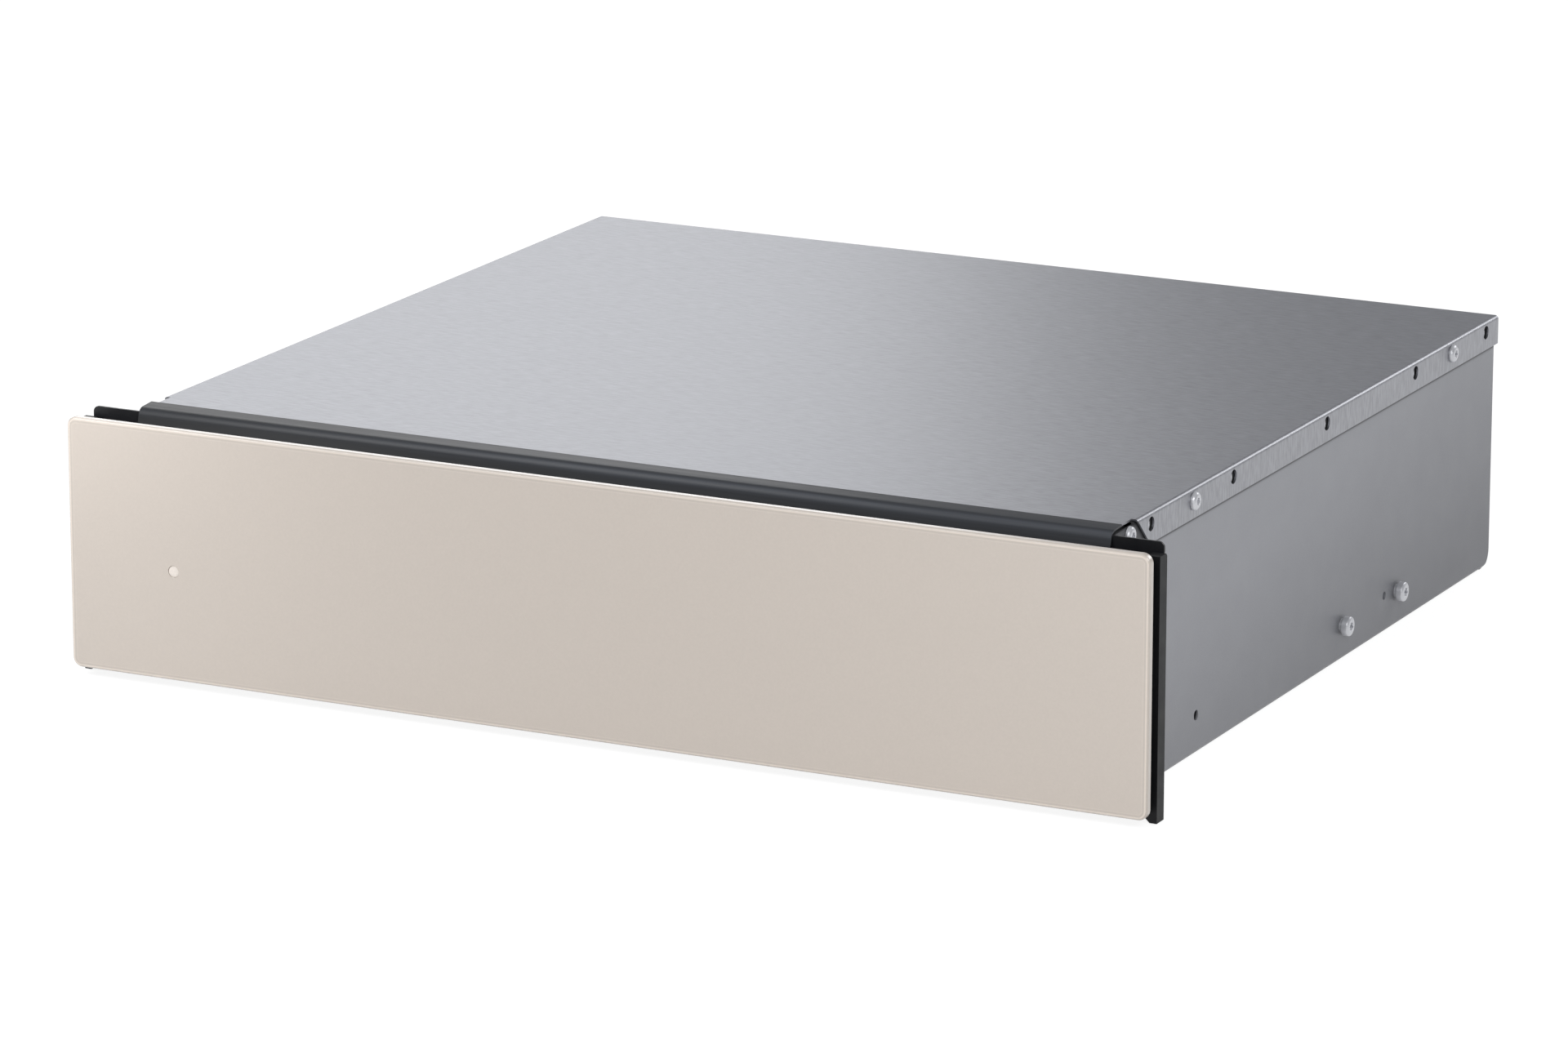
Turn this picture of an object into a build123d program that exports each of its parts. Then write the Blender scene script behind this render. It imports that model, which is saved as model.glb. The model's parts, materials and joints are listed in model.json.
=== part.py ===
"""A built-in warming drawer, 595 mm wide: a sheet-metal casing and a glass-fronted drawer on telescopic runners.

Millimetres, +Z up. The front faces -Y. The origin is the centre of the whole appliance at the surface it stands on.
Depths are measured backwards from the front face of the glass, and heights up from the surface.
"""
from math import cos, hypot, radians, sin

from build123d import *
import os

os.makedirs("parts", exist_ok=True)

# ---------------------------------------------------------------- driving dimensions
# front of the drawer
glass_width = 595.0
glass_height = 130.6
glass_bottom = 4.6
glass_thickness = 4.0
glass_corner = 5.0
glass_arris = 0.8               # bevel along the polished front edge
carrier_rise = 7.5              # depth of the carrier plate behind the glass
carrier_inset = 4.0             # how far the carrier plate stays inside the glass at each side
carrier_foot = 0.6              # and at its foot
carrier_skin = 2.5
carrier_rib = 3.0
rib_count = 5
rib_margin = 43.5               # from the end of the carrier plate to its outermost rib
bar_depth = 8.3
bar_width = 6.8
bar_bottom = 0.4
bar_top_drop = 3.6              # the side bars end this far below the top edge of the glass
bar_flat = 3.8                  # flat foot of each bar, before its 45 degree slope
bar_bevel = 1.2                 # along the top back edge of the bars
boss_count = 4
boss_margin = 29.1              # from the side of the chassis to the outermost boss
boss_drop = 15.0                # from the top of the chassis front to the bosses
boss_size = 8.0
boss_hole_depth = 5.2
boss_screw_radius = 1.5
boss_screw_head = 3.4
boss_screw_rise = 2.0
boss_screw_length = 5.0         # into the boss
lens_margin = 60.8              # from the left edge of the glass
lens_rise = 56.9                # above the bottom edge of the glass
lens_radius = 3.0
lens_bevel = 0.4
lens_collar = 4.5               # radius of the collar behind the glass
lens_length = 8.0
light_board_width = 32.0
light_board_height = 18.0
light_board_shift = 2.0         # its middle lies this far beside the lens
light_play = 0.5                # round the light in the lens's collar
light_gap = 0.6                 # between the light and the lens
plug_width = 9.0
plug_height = 10.0
plug_depth = 5.0

# casing
case_inset = 29.7               # the side walls stand this far inside the edges of the glass
case_back = 517.0
sheet = 1.0
bend = 3.0
rear_bend = 10.0
wall_lip = 8.0
wall_step_drop = 2.5            # the walls ahead of the lid's side flanges are this much lower than the lid
flange_gap = 2.0                # free space between the side bars and the fixed front flange
flange_inset = 2.5              # the flange stays this far inside the edges of the glass
flange_sheet = 1.2
flange_top_drop = 1.5           # its ends, below the top of the lid
flange_trim_drop = 6.6          # its middle part under the trim
flange_bottom = 2.0
flange_corner = 3.0
window_drop = 15.6              # top of the opening below the top of the lid
window_margin = 0.8             # the window stays this far inside the casing walls
tab_depth = 27.0
tab_play = 1.6                  # from the top of the tabs to the top of the walls there

# lid
lid_rise = 2.4                  # the top of the lid above the top edge of the glass
lid_gap = 0.9                   # between the side walls and the side flanges of the lid
lid_drop = 15.2
lid_bend = 2.0
lid_slope_depth = 48.7          # where the side flanges of the lid start, at 45 degrees
lid_front = 32.0
lid_front_inset = 1.8           # the front strip of the lid stays this far inside the side walls
lid_hole_radius = 3.6
lid_hole_drop = 5.7
lid_hole_front = 15.2           # from the start of the side flange to the first hole
lid_hole_back = 17.7            # from the last hole to the back of the lid
lid_hole_step = 99.4            # from the first hole to the second, and from the fourth to the last
lid_screw_drop = 6.4
lid_screw_front = 50.9          # from the first hole to the front screw
lid_screw_back = 48.5           # from the rear screw to the last hole

# front trim
trim_overhang = 0.2             # past the side walls
trim_wall = 0.9
trim_seat = 0.3                 # extra thickness where it lies on the lid
trim_reach = 1.5                # how far it lies on the lid
trim_tuck = 0.2                 # play to the front edge of the lid
shoulder_reach = 6.5            # from the front edge of the lid to the shoulder
shoulder_rise = 0.6
brow_reach = 4.7                # from the shoulder to the brow
brow_drop = 3.6                 # below the top of the lid
brow_bulge = 1.3
foot_reach = 2.2                # from the brow to the foot
foot_drop = 12.1
foot_bulge = 0.3
clip_count = 4
clip_width = 12.0
clip_height = 2.5
clip_margin = 58.0              # from the end of the trim to the first clip

# screws
hole_play = 0.05
screw_radius = 2.0
head_radius = 4.65
head_height = 2.5
head_bevel = 1.1
rim_radius_loss = 1.2           # from the seat of a small pan head to its top
screw_length = 6.0
front_screw_depth = 42.0
front_screw_drop = 6.5
front_screw_length = 4.0
guide_radius = 2.5
guide_collar = 5.1
guide_neck = 1.5
guide_neck_radius = 3.6
guide_head = 4.0
guide_drop = 1.4                # below the middle of the runner
guide_offsets = (172.5, 98.6)   # ahead of the rear end of the runner
rivet_hole_offset = 115.2       # likewise
rivet_hole_radius = 2.15
tool_hole_offset = 91.6         # behind the front end of the runner
tool_hole_radius = 2.6

# telescopic runners
runner_front = 34.0
runner_rear_gap = 33.0          # from the rear end of the runner to the back of the casing
runner_centre = 20.2
runner_height = 35.0
runner_space = 12.7             # between the casing wall and the drawer chassis
runner_sheet = 1.2
runner_bend = 2.0               # to the middle of the sheet
outer_flange = 10.3
race_outer = 2.2
race_inner = 2.0
mid_web_gap = 2.0
inner_web_gap = 2.0
mid_flange = 7.1
mid_setback = 2.0               # the middle rail is this much shorter at each end
cage_wall = 0.8
cage_length = 190.0
cage_start = 126.0
cage_cover = 1.0                # the cages end this far inside the outer rail's edge
push_in = 1.5                   # the closed drawer can be pushed this far further in
rest_gap = 0.3                  # between a moving piece and what stops it, at rest

# drawer
chassis_floor = 8.0
chassis_side = 32.0
rear_room = 39.0                # behind the drawer, for the fan motor
fan_room = 44.0                 # between the tray and the back of the chassis
drawer_drop = 4.0               # the drawer stays this far below the top of the opening
tray_rise = 23.0                # the tray above the chassis floor
tray_play = 2.1                 # between the tray walls and the chassis sides
fascia_depth = 40.5             # of the control fascia, from the carrier
fascia_gap = 6.0                # to the tray
tray_corner = 22.0
tray_bevel = 6.0                # between the tray's floor and its walls
tray_lip = 5.5
pad_play = 3.0
pad_end = 5.0
mat_margin = 16.0
mat_corner = 16.0
mat_thickness = 2.0

# fan heater behind the tray
housing_margin = 8.1            # to the sides of the chassis
housing_drop = 2.0              # below the lip of the tray
grille_width = 320.0
grille_foot_gap = 1.5           # between the grille and the bevel of the tray's floor
grille_overlap = 8.0
grille_corner = 6.0
slot_width = 44.0
slot_height = 4.0
slot_columns = 6
slot_rows = 7
wheel_radius = 28.0
wheel_depth = 16.0
wheel_gap = 9.0                 # between the tray and the wheel
wheel_rim = 3.5
blade_count = 12
blade_thickness = 1.0
blade_sweep = 6.0
blade_bulge = 1.4
hub_radius = 5.5
hub_length = 9.0
shaft_radius = 2.0
shaft_play = 0.08
shaft_hole = 3.5                # radius of the housing's hole round the shaft
heater_radius = 36.0
heater_tube = 3.2
heater_open = 40.0              # degrees left open at the top of the heater ring
heater_leg = 9.0                # how far its legs stand out of the housing
motor_width = 50.0
motor_height = 44.0
motor_corner = 4.0
motor_stack = 16.0
motor_gap = 5.0                 # between the housing and the stack
motor_reach = 26.0
bearing_radius = 12.0
coil_width = 26.0
coil_height = 18.0
coil_rise = 7.0                 # middle of the coil above the foot of the stack
coil_bulge = 3.0                # the coil stands out of the stack at each side
cutout_offset = 70.0            # the thermal cut-out beside the shaft
cutout_radius = 8.0
cutout_height = 9.0
cutout_ear = 32.0
cutout_ear_height = 12.0
cutout_plate = 1.0
spade_width = 6.0
spade_thickness = 0.8
spade_length = 8.0

# controls
fascia_skin = 2.0
fascia_height = 18.0
fascia_corner = 2.5
control_depth = 19.5            # of the knob and the button behind the carrier
knob_margin = 64.1              # from the side of the chassis
knob_radius = 15.0
knob_height = 12.2
knob_sides = 20
knob_bevel = 1.2
knob_gap = 0.4
pointer_width = 1.6
pointer_rise = 0.5
dish_radius = 18.0
dish_depth = 11.0
spindle_radius = 3.0
spindle_play = 2.0
spindle_cap = 4.0               # thickness of the knob over its spindle
spindle_depth = 14.0            # into the thermostat
thermostat_radius = 14.0
thermostat_height = 20.0
thermostat_plate = 2.0
thermostat_ear = 9.0
button_pitch = 65.0             # from the knob to the button
button_width = 26.0
button_height = 12.0
button_bevel = 0.8
button_play = 0.4
button_rise = 1.4               # above the fascia
button_travel = 1.5
button_skirt = 2.5
skirt_thickness = 1.2
stem_size = 5.0
switch_size = 12.0
post_pitch_x = 48.0
post_pitch_y = 26.0
post_size = 5.0
board_gap = 0.4                 # the control board lies this far below the chassis front
board_thickness = 1.6
board_margin = 4.0
relay_height = 9.0
relay_width = 10.0
relay_length = 16.0
relay_pitch = 30.0

# back of the casing
latch_margin = 116.8            # from the side wall
latch_rise = 54.0               # above the chassis floor
striker_thickness = 1.5
latch_stroke = 2.5
spring_room = 9.0               # bore behind the plunger at the end of its stroke
latch_width = 22.0
latch_length = 30.0
latch_ear = 11.0
latch_plate = 2.0
plunger_radius = 4.0
plunger_play = 0.1
plunger_length = 20.0
plunger_bevel = 1.5
gland_margin = 81.8             # from the side wall
gland_height = 38.0
gland_reach = 12.0
gland_radius = 8.0
gland_bore = 3.8
gland_nut = 4.0
gland_collar = 5.0
gland_bevel = 2.0
terminal_width = 70.0
terminal_height = 62.0
terminal_depth = 24.0
terminal_foot = 18.0            # below the gland
terminal_wall = 2.0
terminal_corner = 4.0
ceiling_drop = 11.6
ceiling_front = 40.0
ceiling_rear_gap = 12.0
vent_width = 36.0
vent_height = 3.0
vent_pitch_x = 46.0
vent_pitch_z = 9.0
vent_columns = 4
vent_rows = 5

# ---------------------------------------------------------------- derived places
front_y = -(case_back + sheet + gland_reach) / 2
carrier_back = glass_thickness + carrier_rise
bar_back = carrier_back + bar_depth
flange_front = bar_back + flange_gap
case_front = flange_front + flange_sheet
glass_top = glass_bottom + glass_height
bar_top = glass_top - bar_top_drop
lid_top = glass_top + lid_rise
lid_bottom = lid_top - lid_drop
wall_top = lid_top - sheet
wall_step = lid_top - wall_step_drop
flange_under_trim = lid_top - flange_trim_drop
window_top = lid_top - window_drop
tab_top = wall_step - tab_play
case_width = glass_width - 2 * case_inset
inner_half = case_width / 2 - sheet
trim_width = case_width + 2 * trim_overhang
lid_width = case_width + 2 * (lid_gap + sheet)
lid_back = case_back + sheet
chassis_half = inner_half - runner_space
chassis_back = case_back - rear_room
housing_back = chassis_back - sheet
runner_back = case_back - runner_rear_gap
inner_back = case_back - sheet

# holes and screws in the side walls, as depth and height
hole_height = lid_top - lid_hole_drop
first_hole = lid_slope_depth + lid_hole_front
last_hole = lid_back - lid_hole_back
hole_depths = (
    first_hole,
    first_hole + lid_hole_step,
    (first_hole + last_hole) / 2,
    last_hole - lid_hole_step,
    last_hole,
)
lid_hole_places = [(depth, hole_height) for depth in hole_depths]
lid_screw_places = [
    (first_hole + lid_screw_front, lid_top - lid_screw_drop),
    (last_hole - lid_screw_back, lid_top - lid_screw_drop),
]
front_screw_place = (front_screw_depth, lid_top - front_screw_drop)
guide_places = [(runner_back - offset, runner_centre - guide_drop) for offset in guide_offsets]
rivet_place = (runner_back - rivet_hole_offset, runner_centre)
tool_place = (runner_front + tool_hole_offset, runner_centre)

# the drawer
tray_bottom = chassis_floor + tray_rise
tray_top = window_top - drawer_drop
tray_floor = tray_bottom + sheet
fascia_back = carrier_back + fascia_depth
tray_front = fascia_back + fascia_gap
tray_back = chassis_back - fan_room
tray_middle = (tray_front + tray_back) / 2
tray_length = tray_back - tray_front
tray_half = chassis_half - sheet - tray_play
fan_height = (tray_bottom + tray_top) / 2
grille_height = 2 * (fan_height - tray_bottom - tray_bevel - grille_foot_gap)
wheel_front = tray_back + wheel_gap
wheel_back = wheel_front + wheel_depth
chassis_front_top = tray_top - fascia_height
board_top = chassis_front_top - board_gap
boss_half = chassis_half - boss_margin
boss_pitch = 2 * boss_half / (boss_count - 1)
boss_height = chassis_front_top - boss_drop
lens_x = lens_margin - glass_width / 2
lens_height = glass_bottom + lens_rise
knob_x = knob_margin - chassis_half
button_x = knob_x + button_pitch
control_at = carrier_back + control_depth
latch_x = latch_margin - inner_half
latch_height = chassis_floor + latch_rise
latch_play = push_in + rest_gap
gland_x = inner_half - gland_margin


def level(height):
    """Horizontal plane: local x is X and local y is the depth behind the glass."""
    return Plane(origin=(0, front_y, height), x_dir=(1, 0, 0), z_dir=(0, 0, 1))


def facing(depth):
    """Upright plane across the appliance: local y is the height, and its normal looks to the front."""
    return Plane(origin=(0, front_y + depth, 0), x_dir=(1, 0, 0), z_dir=(0, -1, 0))


def side(x):
    """Upright plane along the appliance: local x is the depth and local y the height."""
    return Plane(origin=(x, front_y, 0), x_dir=(0, 1, 0), z_dir=(1, 0, 0))


def box_at(low, high, mode=Mode.ADD):
    """A block between two corners, each given as x, depth and height."""
    with BuildSketch(level(low[2])) as base:
        with Locations(((low[0] + high[0]) / 2, (low[1] + high[1]) / 2)):
            Rectangle(high[0] - low[0], high[1] - low[1])
    extrude(base.sketch, amount=high[2] - low[2], mode=mode)


def save(part, name):
    """Label one finished piece and write it."""
    part.label = name
    export_step(part, f"parts/{name}.step")


def swell(start, end, bulge):
    """Middle point of an arc from start to end that swells by bulge, to the right of the way along it."""
    run = end[0] - start[0]
    rise = end[1] - start[1]
    length = hypot(run, rise)
    return (start[0] + end[0]) / 2 + bulge * rise / length, (start[1] + end[1]) / 2 - bulge * run / length


def turned(outline):
    """A solid turned round the X axis from the points of its half section."""
    with BuildPart() as one:
        with BuildSketch(Plane.XY):
            with BuildLine():
                Polyline(*outline, close=True)
            make_face()
        revolve(axis=Axis.X)
    return one.part


def pan_screw(seat_radius, rise, shank, length):
    """A pan-head screw along +X: its seat is at X = 0, its head stands outwards, its shank runs inwards."""
    top_radius = seat_radius - rim_radius_loss
    return turned([(rise, 0), (-length, 0), (-length, shank), (0, shank), (0, seat_radius), (rise, top_radius)])


def both_sides(one, x, places):
    """Copies of a screw with their seats at +X and -X, at each (depth, height)."""
    with BuildPart() as group:
        for depth, height in places:
            with Locations((x, front_y + depth, height)):
                add(one)
        mirror(about=Plane.YZ)
    return group.part


def holes_through(places, radius, half_width):
    """Round holes across the appliance, from one side wall to the other."""
    with BuildSketch(side(-half_width)) as pattern:
        with Locations(*places):
            Circle(radius)
    extrude(pattern.sketch, amount=2 * half_width, mode=Mode.SUBTRACT)


# ================================================================ casing
# Base: one folded sheet with the floor, both side walls and their inward lips.
with BuildPart() as casing_base:
    with BuildSketch(facing(case_front)):
        with Locations((0, wall_top / 2)):
            RectangleRounded(case_width, wall_top, bend)
            RectangleRounded(2 * inner_half, wall_top - 2 * sheet, bend - sheet, mode=Mode.SUBTRACT)
        with Locations((0, wall_top)):
            Rectangle(2 * (inner_half - wall_lip), 4 * sheet, mode=Mode.SUBTRACT)
    extrude(amount=-(case_back - case_front))
    # the walls are lower where the front ends of the lid are cut away
    box_at(
        (-case_width, case_front - sheet, wall_step),
        (case_width, lid_slope_depth, lid_top),
        Mode.SUBTRACT,
    )
    # the lower back corners are rounded, and the floor stops where the back panel's bend begins
    box_at(
        (-inner_half, case_back - rear_bend, -sheet),
        (inner_half, case_back + sheet, bend),
        Mode.SUBTRACT,
    )
    with BuildSketch(side(-case_width)):
        with Locations((case_back, 0)):
            Rectangle(2 * rear_bend, 2 * rear_bend)
        with Locations((case_back - rear_bend, rear_bend)):
            Circle(rear_bend, mode=Mode.SUBTRACT)
    extrude(amount=2 * case_width, mode=Mode.SUBTRACT)
    holes_through([*lid_screw_places, front_screw_place], screw_radius + hole_play, case_width)
    holes_through(guide_places, guide_radius + hole_play, case_width)
    holes_through([rivet_place], rivet_hole_radius, case_width)
    holes_through([tool_place], tool_hole_radius, case_width)
save(casing_base.part, "casing_base")

# Back panel: it bends forward at the foot with a large radius and meets the end of the floor.
bend_start = case_back - rear_bend
with BuildPart() as rear_panel:
    with BuildSketch(side(-inner_half)):
        with BuildLine():
            Line((bend_start, 0), (bend_start, sheet))
            RadiusArc((bend_start, sheet), (inner_back, rear_bend), -(rear_bend - sheet))
            Polyline(
                (inner_back, rear_bend),
                (inner_back, wall_top),
                (case_back, wall_top),
                (case_back, rear_bend),
            )
            RadiusArc((case_back, rear_bend), (bend_start, 0), rear_bend)
        make_face()
    extrude(amount=2 * inner_half)
    # the lips of the side walls pass over the panel's upper corners
    for hand in (-1, 1):
        corner = sorted((hand * (inner_half - wall_lip), hand * inner_half))
        box_at(
            (corner[0], inner_back - sheet, wall_top - bend),
            (corner[1], case_back + sheet, wall_top + sheet),
            Mode.SUBTRACT,
        )
    with BuildSketch(facing(case_back)):
        with Locations((gland_x, gland_height)):
            Circle(gland_radius + hole_play)
        with Locations((0, fan_height)):
            with GridLocations(vent_pitch_x, vent_pitch_z, vent_columns, vent_rows):
                Rectangle(vent_width, vent_height)
    extrude(amount=2 * sheet, mode=Mode.SUBTRACT)
save(rear_panel.part, "rear_panel")

# Lid: side and back flanges folded down, the front ends of the side flanges cut at 45 degrees.
with BuildPart() as top_cover:
    with BuildSketch(facing(lid_slope_depth)) as section:
        with Locations((0, lid_bottom)):
            Rectangle(lid_width, lid_drop, align=(Align.CENTER, Align.MIN))
        fillet(section.vertices().group_by(Axis.Y)[-1], lid_bend)
    extrude(amount=-(lid_back - lid_slope_depth))
    with BuildSketch(facing(lid_slope_depth)) as section:
        with Locations((0, lid_bottom - sheet)):
            Rectangle(lid_width - 2 * sheet, lid_drop, align=(Align.CENTER, Align.MIN))
        fillet(section.vertices().group_by(Axis.Y)[-1], lid_bend - sheet)
    extrude(amount=-(case_back - lid_slope_depth), mode=Mode.SUBTRACT)
    with BuildSketch(side(-lid_width)):
        with BuildLine():
            Polyline(
                (lid_slope_depth - sheet, wall_top),
                (lid_slope_depth, wall_top),
                (lid_slope_depth + wall_top - lid_bottom, lid_bottom),
                (lid_slope_depth + wall_top - lid_bottom, lid_bottom - sheet),
                (lid_slope_depth - sheet, lid_bottom - sheet),
                close=True,
            )
        make_face()
    extrude(amount=2 * lid_width, mode=Mode.SUBTRACT)
    strip_half = case_width / 2 - lid_front_inset
    box_at((-strip_half, lid_front, wall_top), (strip_half, lid_slope_depth, lid_top))
    holes_through(lid_hole_places, lid_hole_radius, lid_width)
    holes_through(lid_screw_places, screw_radius + hole_play, lid_width)
save(top_cover.part, "top_cover")

lid_screw = pan_screw(head_radius, head_height, screw_radius, screw_length)
save(both_sides(lid_screw, lid_width / 2, lid_screw_places), "lid_screws")

# Fixed front flange: a black plate round the drawer opening, with one folded tab at each side wall.
with BuildPart() as front_flange:
    with BuildSketch(facing(flange_front)) as face:
        with Locations((0, flange_bottom)):
            Rectangle(
                glass_width - 2 * flange_inset,
                lid_top - flange_top_drop - flange_bottom,
                align=(Align.CENTER, Align.MIN),
            )
        fillet(face.vertices().group_by(Axis.Y)[-1], flange_corner)
        with Locations((0, flange_under_trim)):
            Rectangle(trim_width, lid_top, align=(Align.CENTER, Align.MIN), mode=Mode.SUBTRACT)
        with Locations((0, 0)):
            Rectangle(
                2 * (inner_half - window_margin),
                window_top,
                align=(Align.CENTER, Align.MIN),
                mode=Mode.SUBTRACT,
            )
    extrude(amount=-flange_sheet)
    box_at(
        (-(inner_half - wall_lip), flange_front, flange_under_trim - flange_sheet),
        (inner_half - wall_lip, case_front + wall_lip, flange_under_trim),
    )
    for hand in (-1, 1):
        tab = sorted((hand * (inner_half - flange_sheet), hand * inner_half))
        box_at((tab[0], flange_front, window_top), (tab[1], case_front + tab_depth, tab_top))
    holes_through([front_screw_place], screw_radius + hole_play, case_width)
save(front_flange.part, "front_flange")

front_screw = pan_screw(head_radius, head_height, screw_radius, front_screw_length)
save(both_sides(front_screw, case_width / 2, [front_screw_place]), "front_screws")

# Front trim: a thin curved strip that closes the gap between the lid and the front flange.
back_edge = (lid_front + trim_reach, lid_top)
back_top = (lid_front + trim_reach, lid_top + trim_wall + trim_seat)
shoulder = (lid_front - shoulder_reach, lid_top + shoulder_rise)
brow = (shoulder[0] - brow_reach, lid_top - brow_drop)
foot = (brow[0] - foot_reach, lid_top - foot_drop)
inner_seat = (lid_front - trim_tuck, lid_top)
inner_shoulder = (shoulder[0], shoulder[1] - trim_wall)
inner_brow = (brow[0] + trim_wall, brow[1])
inner_foot = (foot[0] + trim_wall, foot[1])
with BuildPart() as front_trim:
    with BuildSketch(side(-trim_width / 2)):
        with BuildLine():
            Polyline(inner_seat, back_edge, back_top, shoulder)
            ThreePointArc(shoulder, swell(shoulder, brow, brow_bulge), brow)
            ThreePointArc(brow, swell(brow, foot, foot_bulge), foot)
            Line(foot, inner_foot)
            ThreePointArc(inner_foot, swell(inner_brow, inner_foot, foot_bulge), inner_brow)
            inner_swell = swell(inner_shoulder, inner_brow, brow_bulge - trim_wall / 4)
            ThreePointArc(inner_brow, inner_swell, inner_shoulder)
            Line(inner_shoulder, inner_seat)
        make_face()
    extrude(amount=trim_width)
    # clips stand behind the leg and press on the front flange
    clip_pitch = (trim_width - 2 * clip_margin) / (clip_count - 1)
    with BuildSketch(facing(flange_front)):
        with Locations((0, foot[1] + clip_height / 2)):
            with GridLocations(clip_pitch, 1, clip_count, 1):
                Rectangle(clip_width, clip_height)
    extrude(amount=flange_front - foot[0] - trim_wall / 2)
save(front_trim.part, "front_trim")

# Ceiling: a tray of sheet hung under the lid, which keeps the heat in.
ceiling_half = inner_half - wall_lip - sheet
ceiling_height = lid_top - ceiling_drop
with BuildPart() as cavity_ceiling:
    with BuildSketch(facing(ceiling_front)):
        with Locations((0, ceiling_height)):
            Rectangle(2 * ceiling_half, wall_top - ceiling_height, align=(Align.CENTER, Align.MIN))
        with Locations((0, ceiling_height + sheet)):
            Rectangle(
                2 * (ceiling_half - sheet),
                wall_top - ceiling_height,
                align=(Align.CENTER, Align.MIN),
                mode=Mode.SUBTRACT,
            )
    extrude(amount=-(case_back - ceiling_rear_gap - ceiling_front))
save(cavity_ceiling.part, "cavity_ceiling")

# ================================================================ telescopic runners
def channel(web_x, tip_x, height, thickness, start, end):
    """A rolled C channel along the runner: its web's outer face at web_x and its open side at tip_x."""
    inwards = 1 if tip_x > web_x else -1
    web = web_x + inwards * thickness / 2
    reach = (height - thickness) / 2
    with BuildSketch(facing(start)) as section:
        with BuildLine():
            FilletPolyline(
                (tip_x, runner_centre + reach),
                (web, runner_centre + reach),
                (web, runner_centre - reach),
                (tip_x, runner_centre - reach),
                radius=runner_bend,
            )
        trace(line_width=thickness)
    extrude(section.sketch, amount=start - end)


mid_height = runner_height - 2 * (runner_sheet + race_outer)
inner_height = mid_height - 2 * (runner_sheet + race_inner)
mid_web = inner_half - runner_sheet - mid_web_gap
inner_tip = mid_web - runner_sheet - inner_web_gap
cage_outer_height = mid_height + race_outer + cage_wall
cage_inner_height = inner_height + race_inner + cage_wall
cage_tip = inner_half - outer_flange + cage_cover
cage_front = runner_front + cage_start
cage_back = cage_front + cage_length

with BuildPart() as outer_rail:
    channel(inner_half, inner_half - outer_flange, runner_height, runner_sheet, runner_front, runner_back)
    holes_through(guide_places, guide_radius + hole_play, case_width)
    holes_through([tool_place], tool_hole_radius + sheet, case_width)

with BuildPart() as mid_rail:
    channel(
        mid_web,
        mid_web - mid_flange,
        mid_height,
        runner_sheet,
        runner_front + mid_setback,
        runner_back - mid_setback,
    )

with BuildPart() as inner_rail:
    channel(chassis_half, inner_tip, inner_height, runner_sheet, runner_front, runner_back)

with BuildPart() as outer_cage:
    outer_cage_web = mid_web + (mid_web_gap + cage_wall) / 2
    channel(outer_cage_web, cage_tip, cage_outer_height, cage_wall, cage_front, cage_back)

with BuildPart() as inner_cage:
    inner_cage_web = inner_tip + (inner_web_gap + cage_wall) / 2
    channel(inner_cage_web, cage_tip, cage_inner_height, cage_wall, cage_front, cage_back)

runner_parts = {
    "outer_rail": outer_rail.part,
    "mid_rail": mid_rail.part,
    "inner_rail": inner_rail.part,
    "outer_ball_cage": outer_cage.part,
    "inner_ball_cage": inner_cage.part,
}
for name, right in runner_parts.items():
    with BuildPart() as left:
        mirror(right, about=Plane.YZ)
    save(right, f"{name}_right")
    save(left.part, f"{name}_left")

# Guide screws: a shank through the wall and the outer rail, a neck, and a thick collar that stands off the wall.
guide_end = -(sheet + runner_sheet)
guide_top = guide_neck + guide_head
guide_screw = turned(
    [
        (guide_top, 0),
        (guide_end, 0),
        (guide_end, guide_radius),
        (0, guide_radius),
        (0, guide_neck_radius),
        (guide_neck, guide_neck_radius),
        (guide_neck, guide_collar),
        (guide_top - head_bevel, guide_collar),
        (guide_top, guide_collar - head_bevel),
    ]
)
save(both_sides(guide_screw, case_width / 2, guide_places), "guide_screws")

# ================================================================ drawer
# Front glass: rounded corners and a bevelled, polished front edge, with a hole for the indicator.
with BuildPart() as front_glass:
    with BuildSketch(facing(0)):
        with Locations((0, glass_bottom + glass_height / 2)):
            RectangleRounded(glass_width, glass_height, glass_corner)
    extrude(amount=-glass_thickness)
    chamfer(front_glass.faces().sort_by(Axis.Y)[0].edges(), glass_arris)
    with BuildSketch(facing(0)):
        with Locations((lens_x, lens_height)):
            Circle(lens_radius + hole_play)
    extrude(amount=-glass_thickness, mode=Mode.SUBTRACT)
save(front_glass.part, "front_glass")

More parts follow.
